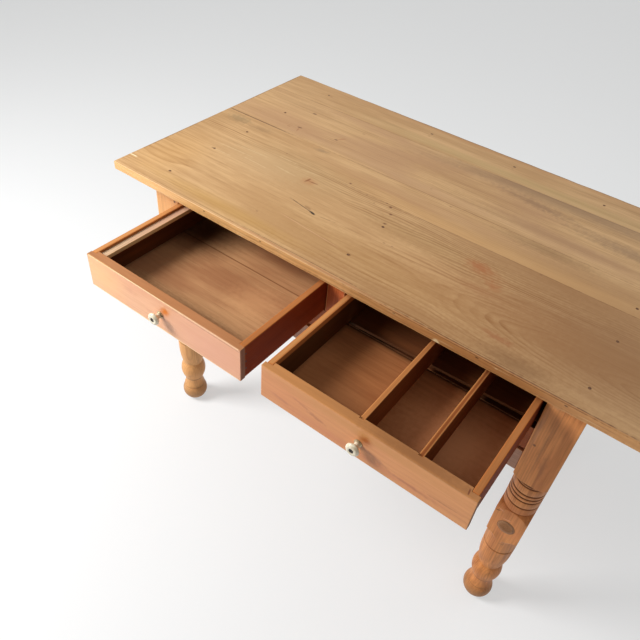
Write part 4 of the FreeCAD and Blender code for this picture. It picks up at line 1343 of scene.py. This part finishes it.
@dataclass
class Drawer:
    """One drawer with its boards and its knob.

    Attributes:
        side: Which drawer it is, left or right.
        seed: Moves the grain of its boards.
        front: The front's finish.
        walls: The sides' and the back's finish.
        floors: The finishes of the front and the rear bottom board.
        fittings: The boards inside, each with its seed and its finish.
        edge: The colour of the front's top edge.
        front_arris: The wear on the front's arrises.
        floor_arris: The wear on the bottom's arrises.
        gap_shade: The painted shade on the bottom boards' sides at their gap.
        gap_shade_reach: How far that painted shade reaches onto the front one, in metres.
        rubbed: The stain that hands left beside the knob.
        shades: What lies on the front's face.
        edge_marks: What lies on the front's top edge.
        floor_marks: What lies on the bottom.
    """

    side: str
    seed: float
    front: WoodFinish
    walls: WoodFinish
    floors: tuple[WoodFinish, WoodFinish]
    fittings: tuple[tuple[str, float, WoodFinish], ...]
    edge: Colour
    front_arris: float
    floor_arris: float
    gap_shade: Colour
    gap_shade_reach: float
    rubbed: Colour
    shades: tuple[Mark, ...]
    floor_marks: tuple[Mark, ...]
    edge_marks: tuple[Mark, ...] = ()

    def face(self) -> Face:
        """The front's face with the stain beside the knob and a painted shadow of the knob below it."""
        low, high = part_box(f"{self.side}_drawer_knob")
        x, z = (low.x + high.x) / 2, (low.z + high.z) / 2
        return Face(1, -1, marks=self.shades + (
            tone((x + 0.013, z + 0.016), (0.018, 0.014), self.rubbed, 0.95, 0.4, 0.9, 10),
            # A painted shadow of the knob, just below and to the right of it.
            tone((x + 0.004, z - 0.004), (0.014, 0.012), srgb(140, 92, 66), 0.5, 0.5, 0.9)))

    def board(self, part: str, finish: WoodFinish, seed: float, *faces: Face,
              arris: float = 1.0 * MM) -> None:
        """Build one board of the drawer.

        Args:
            part: The board's name after the drawer's prefix.
            finish: Its finish.
            seed: Moves its grain, on top of the drawer's own seed.
            faces: Faces that look unlike the rest.
            arris: The wear on its arrises.
        """
        node = f"{self.side}_drawer_{part}"
        Board(node, finish.fitted(node, self.seed + seed, *faces), arris).build()

    def build(self, finishes: dict[str, bpy.types.Material]) -> None:
        """Build the drawer.

        Args:
            finishes: Materials by slot.
        """
        inside = Face(1, 1, srgb(112, 66, 38), 0.8, 1.2 * MM)
        edge = Face(2, 1, self.edge, 0.9, 1.4 * MM, self.edge_marks)
        self.board("front", self.front, 0.0, inside, edge, self.face(), arris=self.front_arris)
        rim = line((-0.20, 0.712), (0.5, 0.009), srgb(190, 118, 64), 0.9, 0.1, 0.5)
        # Painted shade: the left side's inner face, turned from the light, is tinted dark.
        self.board("left_side", self.walls, 2.1, Face(0, 1, srgb(74, 48, 26), 0.85, marks=(rim,)),
                   Face(2, 1, srgb(206, 144, 88), 0.9, 1.6 * MM))
        # Painted shade: the right side's outer face, turned from the light, is tinted darker.
        self.board("right_side", self.walls, 3.7, Face(0, 1, srgb(132, 54, 22), 0.85))
        self.board("back", replace(self.walls, grain=Grain.ALONG_X), 5.9)
        fore, rear = self.floors
        spots = Face(2, 1, marks=self.floor_marks)
        # Painted shade: the bottom boards' sides at their gap, and a strip of the front board's top beside
        # it, are tinted dark.
        self.board("bottom_front", fore, 7.3, spots, Face(1, 1, self.gap_shade, 0.95, self.gap_shade_reach),
                   arris=self.floor_arris)
        self.board("bottom_back", rear, 8.9, spots, Face(1, -1, self.gap_shade, 0.95, 0.8 * MM),
                   arris=self.floor_arris)
        for part, seed, finish in self.fittings:
            self.board(part, finish, seed)
        Knob(f"{self.side}_drawer_").build(finishes)


def left_drawer() -> Drawer:
    """The left drawer, pale, with a painted shadow in its corner and a ledge."""
    shades = (tone((-0.40, 0.680), (0.10, 0.08), srgb(240, 184, 124), 0.7, 0.2),
              tone((-0.09, 0.675), (0.17, 0.08), srgb(222, 158, 128), 0.7, 0.2),
              line((-0.09, 0.712), (0.12, 0.0014), srgb(160, 96, 70), 0.5, 0.6),
              tone((-0.31, 0.690), (0.025, 0.010), srgb(206, 138, 104), 0.4, 0.5, 0.9),
              tone((-0.255, 0.668), (0.020, 0.008), srgb(210, 140, 108), 0.4, 0.5, 0.9))
    # Painted shade on the bottom: the shadow of the top and the left side in the back-left corner, a paler
    # patch, and a dark strip behind the front.
    patches = (tone((-0.375, -0.165), (0.15, 0.105), srgb(58, 32, 16), 0.92, 0.08, turn=12),
              tone((-0.14, -0.27), (0.09, 0.07), srgb(224, 168, 118), 0.4, turn=10),
              line((-0.23, -0.390), (0.21, 0.042), srgb(118, 80, 50), 0.65, 0.3, 0.9))
    floors = (replace(BOTTOM, arris_strength=0.1, tight=((1, 1),)), replace(BOTTOM, tight=((1, -1),)))
    return Drawer("left", 11.3, front=FRONT, walls=SIDE, floors=floors,
                  fittings=(("ledge", 1.3, LEDGE),), edge=srgb(172, 112, 66), front_arris=1.2 * MM,
                  floor_arris=0.3 * MM, gap_shade=srgb(140, 94, 60), gap_shade_reach=3.5 * MM,
                  rubbed=srgb(222, 124, 40), shades=shades, floor_marks=patches)


def right_drawer() -> Drawer:
    """The right drawer, browner, with two dividers and an open gap in its bottom."""
    front = replace(FRONT, pale=srgb(214, 148, 94), deep=srgb(184, 116, 70), tint=srgb(206, 130, 88),
                    arris=srgb(208, 142, 84), arris_strength=0.5, arris_reach=0.006, ring_strength=0.3,
                    wander=0.05, ring=0.011, fibre_strength=0.3, fleck_strength=0.25, coat=0.06, gloss=0.3)
    flames = (line((0.23, 0.705), (0.24, 0.017), srgb(196, 136, 78), 0.7, 0.2, 0.9),
              line((0.23, 0.652), (0.22, 0.014), srgb(198, 122, 84), 0.5, 0.4, 0.9),
              tone((0.145, 0.672), (0.030, 0.006), srgb(168, 98, 66), 0.6, 0.6, 0.9, -10),
              tone((0.115, 0.682), (0.034, 0.004), srgb(176, 104, 70), 0.5, 0.6, 0.9, -12),
              tone((0.262, 0.668), (0.034, 0.007), srgb(150, 88, 70), 0.6, 0.5, 0.9, -14),
              tone((0.33, 0.655), (0.060, 0.005), srgb(164, 96, 66), 0.6, 0.5, 0.9, -3),
              tone((0.39, 0.664), (0.045, 0.003), srgb(156, 90, 60), 0.5, 0.5, 0.9, 2),
              tone((0.07, 0.662), (0.040, 0.005), srgb(176, 108, 74), 0.5, 0.6, 0.9, -8))
    walls = replace(SIDE, pale=srgb(134, 74, 38), deep=srgb(92, 46, 22), tint=srgb(110, 58, 30))
    fore = replace(BOTTOM, pale=srgb(178, 116, 72), deep=srgb(138, 82, 48), tint=srgb(150, 90, 54),
                   arris_strength=0.0, gloss=0.02)
    # Painted shade: the right drawer's rear bottom board is darkened past the wood's own colour, where the
    # top shades it.
    rear = replace(BOTTOM, pale=srgb(120, 72, 42), deep=srgb(88, 50, 30), tint=srgb(100, 58, 34),
                   arris=srgb(88, 62, 48), arris_reach=0.0009, gloss=0.02)
    divider = replace(walls, arris=srgb(220, 150, 88))
    dark_top = Face(2, 1, srgb(136, 72, 36), 0.9, 1.6 * MM)
    fittings = (("left_divider", 0.7, divider),
                ("right_divider", 1.9, replace(divider, faces=divider.faces + (dark_top,))))
    rims = (line((0.34, -0.43), (0.16, 0.03), srgb(148, 96, 54), 0.75, 0.3, 0.9),
            Mark((0.4245, -0.4255), (0.0030, 0.0030), srgb(58, 22, 14), 0.9),
            line((0.4180, -0.4330), (0.0016, 0.0080), srgb(110, 52, 28), 0.8, 0.3, turn=8))
    # Paler and darker patches on the compartment floors: painted light and painted shade that make up for how
    # the lamp falls there.
    floors = (tone((0.34, -0.31), (0.14, 0.13), srgb(206, 142, 98), 0.85, 0.2, 0.9),
              tone((0.03, -0.30), (0.06, 0.10), srgb(196, 130, 84), 0.5, soft=0.9),
              tone((0.14, -0.36), (0.09, 0.07), srgb(146, 96, 62), 0.5))
    return Drawer("right", 23.9, front=front, walls=walls, floors=(fore, rear), fittings=fittings,
                  edge=srgb(190, 130, 76), front_arris=3.0 * MM, floor_arris=0.5 * MM,
                  gap_shade=srgb(26, 14, 8), gap_shade_reach=6.0 * MM, rubbed=srgb(172, 96, 40), shades=flames,
                  floor_marks=floors, edge_marks=rims)


# Set


@dataclass(frozen=True)
class Lamp:
    """One soft square lamp.

    Attributes:
        name: Its name.
        at: Where it hangs.
        aim: What it points at.
        size: Its side in metres.
        power: Its power in watts.
        colour: Its colour.
    """

    name: str
    at: Place
    aim: Place
    size: float
    power: float
    colour: Colour

    def hang(self) -> None:
        """Hang the lamp in the scene."""
        data = bpy.data.lights.new(self.name, "AREA")
        data.shape = "SQUARE"
        data.size = self.size
        data.energy = self.power
        data.color = self.colour
        lamp = bpy.data.objects.new(self.name, data)
        bpy.context.scene.collection.objects.link(lamp)
        direction = Vector(self.aim) - Vector(self.at)
        turn = direction.to_track_quat("-Z", "Y").to_matrix().to_4x4()
        lamp.matrix_world = Matrix.Translation(self.at) @ turn


@dataclass
class Studio:
    """Floor, light and camera.

    Attributes:
        eye: Where the camera stands, in metres.
        heading: Its turn to the left of straight back, in radians.
        dip: Its tilt, negative downwards.
        roll: Its roll.
        focus: Focal length in pixels of the frame.
        frame_side: The frame's side in pixels.
        film: The width of the camera's film in millimetres.
        floor_half: Half the floor's side in metres.
        floor_rise: How high the floor rises behind the table.
        floor_bend: How far from the fold its bend begins.
        floor_white: The floor's colour.
        floor_glow: What the camera sees added to the floor.
        floor_share: How much of it is added.
        sky: The colour of the sky.
        sky_strength: How bright it is.
        lamps: The lamps.
    """

    eye: Place = (0.5069, -1.0139, 1.5326)
    heading: float = 0.5780
    dip: float = -0.7533
    roll: float = 0.1011
    focus: float = 647.28
    frame_side: float = 640.0
    film: float = 36.0
    floor_half: float = 9.0
    floor_rise: float = 7.0
    floor_bend: float = 3.0
    floor_white: Colour = srgb(246, 247, 248)
    floor_glow: Colour = srgb(252, 253, 253)
    floor_share: float = 0.5
    sky: Colour = (1.0, 0.99, 0.975)
    sky_strength: float = 0.28
    lamps: tuple[Lamp, ...] = (
        Lamp("window", (-1.85, -1.5, 2.05), (-0.1, -0.1, 0.6), 1.05, 88.0, (1.0, 0.995, 0.985)),
        Lamp("fill", (1.0, 1.5, 3.1), (0.0, 0.0, 0.6), 2.0, 10.5, (0.97, 0.99, 1.0)))

    def camera(self) -> None:
        """Stand the camera where the photograph was taken from."""
        data = bpy.data.cameras.new("camera")
        data.sensor_width = self.film
        data.lens = self.focus / self.frame_side * data.sensor_width
        camera = bpy.data.objects.new("camera", data)
        bpy.context.scene.collection.objects.link(camera)
        ahead = Vector((-math.sin(self.heading) * math.cos(self.dip),
                        math.cos(self.heading) * math.cos(self.dip), math.sin(self.dip)))
        level = Vector((math.cos(self.heading), math.sin(self.heading), 0.0))
        upright = level.cross(ahead)
        right = level * math.cos(self.roll) + upright * math.sin(self.roll)
        up = upright * math.cos(self.roll) - level * math.sin(self.roll)
        turn = Matrix((right, up, -ahead)).transposed().to_4x4()
        camera.matrix_world = Matrix.Translation(self.eye) @ turn
        bpy.context.scene.camera = camera

    def floor(self) -> None:
        """Lay a pale floor that curves up behind the table, seen a little brighter than it is lit."""
        graph = Graph("floor_paint")
        place = graph.vector(*graph.coordinates())
        cloud = graph.noise(place, 1.2, 2.0)
        colour = graph.mix(cloud, self.floor_white, tuple(c * 0.97 for c in self.floor_white))
        material = graph.finish(Base_Color=colour, Roughness=0.85)
        rays = [graph.node("ShaderNodeLightPath", output=f"Is {kind} Ray")
                for kind in ("Camera", "Glossy", "Transmission")]
        seen = rays[0].maths("MAXIMUM", rays[1]).maths("MAXIMUM", rays[2])
        glow = graph.node("ShaderNodeEmission", inputs={"Color": self.floor_glow, "Strength": 1.0})
        paint = Signal(graph, graph.shader.outputs[0])
        both = graph.node("ShaderNodeMixShader", inputs={0: seen * self.floor_share, 1: paint, 2: glow})
        output = next(n for n in graph.tree.nodes if n.type == "OUTPUT_MATERIAL")
        graph.feed(output.inputs["Surface"], both)
        mesh = bmesh.new()
        bmesh.ops.create_grid(mesh, x_segments=1, y_segments=1, size=self.floor_half)
        back = [e for e in mesh.edges if all(v.co.y > 0 for v in e.verts)]
        grown = bmesh.ops.extrude_edge_only(mesh, edges=back)
        bmesh.ops.translate(mesh, verts=[v for v in grown["geom"] if isinstance(v, bmesh.types.BMVert)],
                            vec=(0, 0, self.floor_rise))
        round_over(mesh, back, self.floor_bend, 12)
        piece = show("floor", mesh)
        piece.data.materials.append(material)

    def light(self) -> None:
        """Light the table softly from the left, with a pale sky."""
        world = bpy.data.worlds.new("sky")
        world.use_nodes = True
        colour, strength = world.node_tree.nodes["Background"].inputs[:2]
        colour.default_value = (*self.sky, 1.0)
        strength.default_value = self.sky_strength
        bpy.context.scene.world = world
        for lamp in self.lamps:
            lamp.hang()
        bpy.context.scene.view_settings.view_transform = "Standard"

    def build(self) -> None:
        """Set the whole stage."""
        self.camera()
        self.floor()
        self.light()


def dress_hardware(finishes: dict[str, bpy.types.Material]) -> None:
    """Dress the nails, screws, collars and knobs as they were packed.

    Args:
        finishes: Materials by slot, and one for the nails of the top.
    """
    for entry in frame["record"]["subparts"]:
        name, slot = entry["node"], entry["material_slot"]
        if slot in finishes:
            looks = frame["nodes"][name].data.materials
            looks.clear()
            looks.append(finishes[name if name == "top_nails" else slot])


def main() -> None:
    """Build every piece in order."""
    logging.basicConfig(level=logging.INFO, format="%(message)s")
    Studio().build()
    finishes = {"porcelain": PORCELAIN.build(), "collar_metal": BRASS.build(), "iron": IRON.build(),
                "top_nails": NAILS.build()}
    dress_hardware(finishes)
    Top().build()
    Frame().build()
    left_drawer().build(finishes)
    right_drawer().build(finishes)


if __name__ == "__main__":
    main()
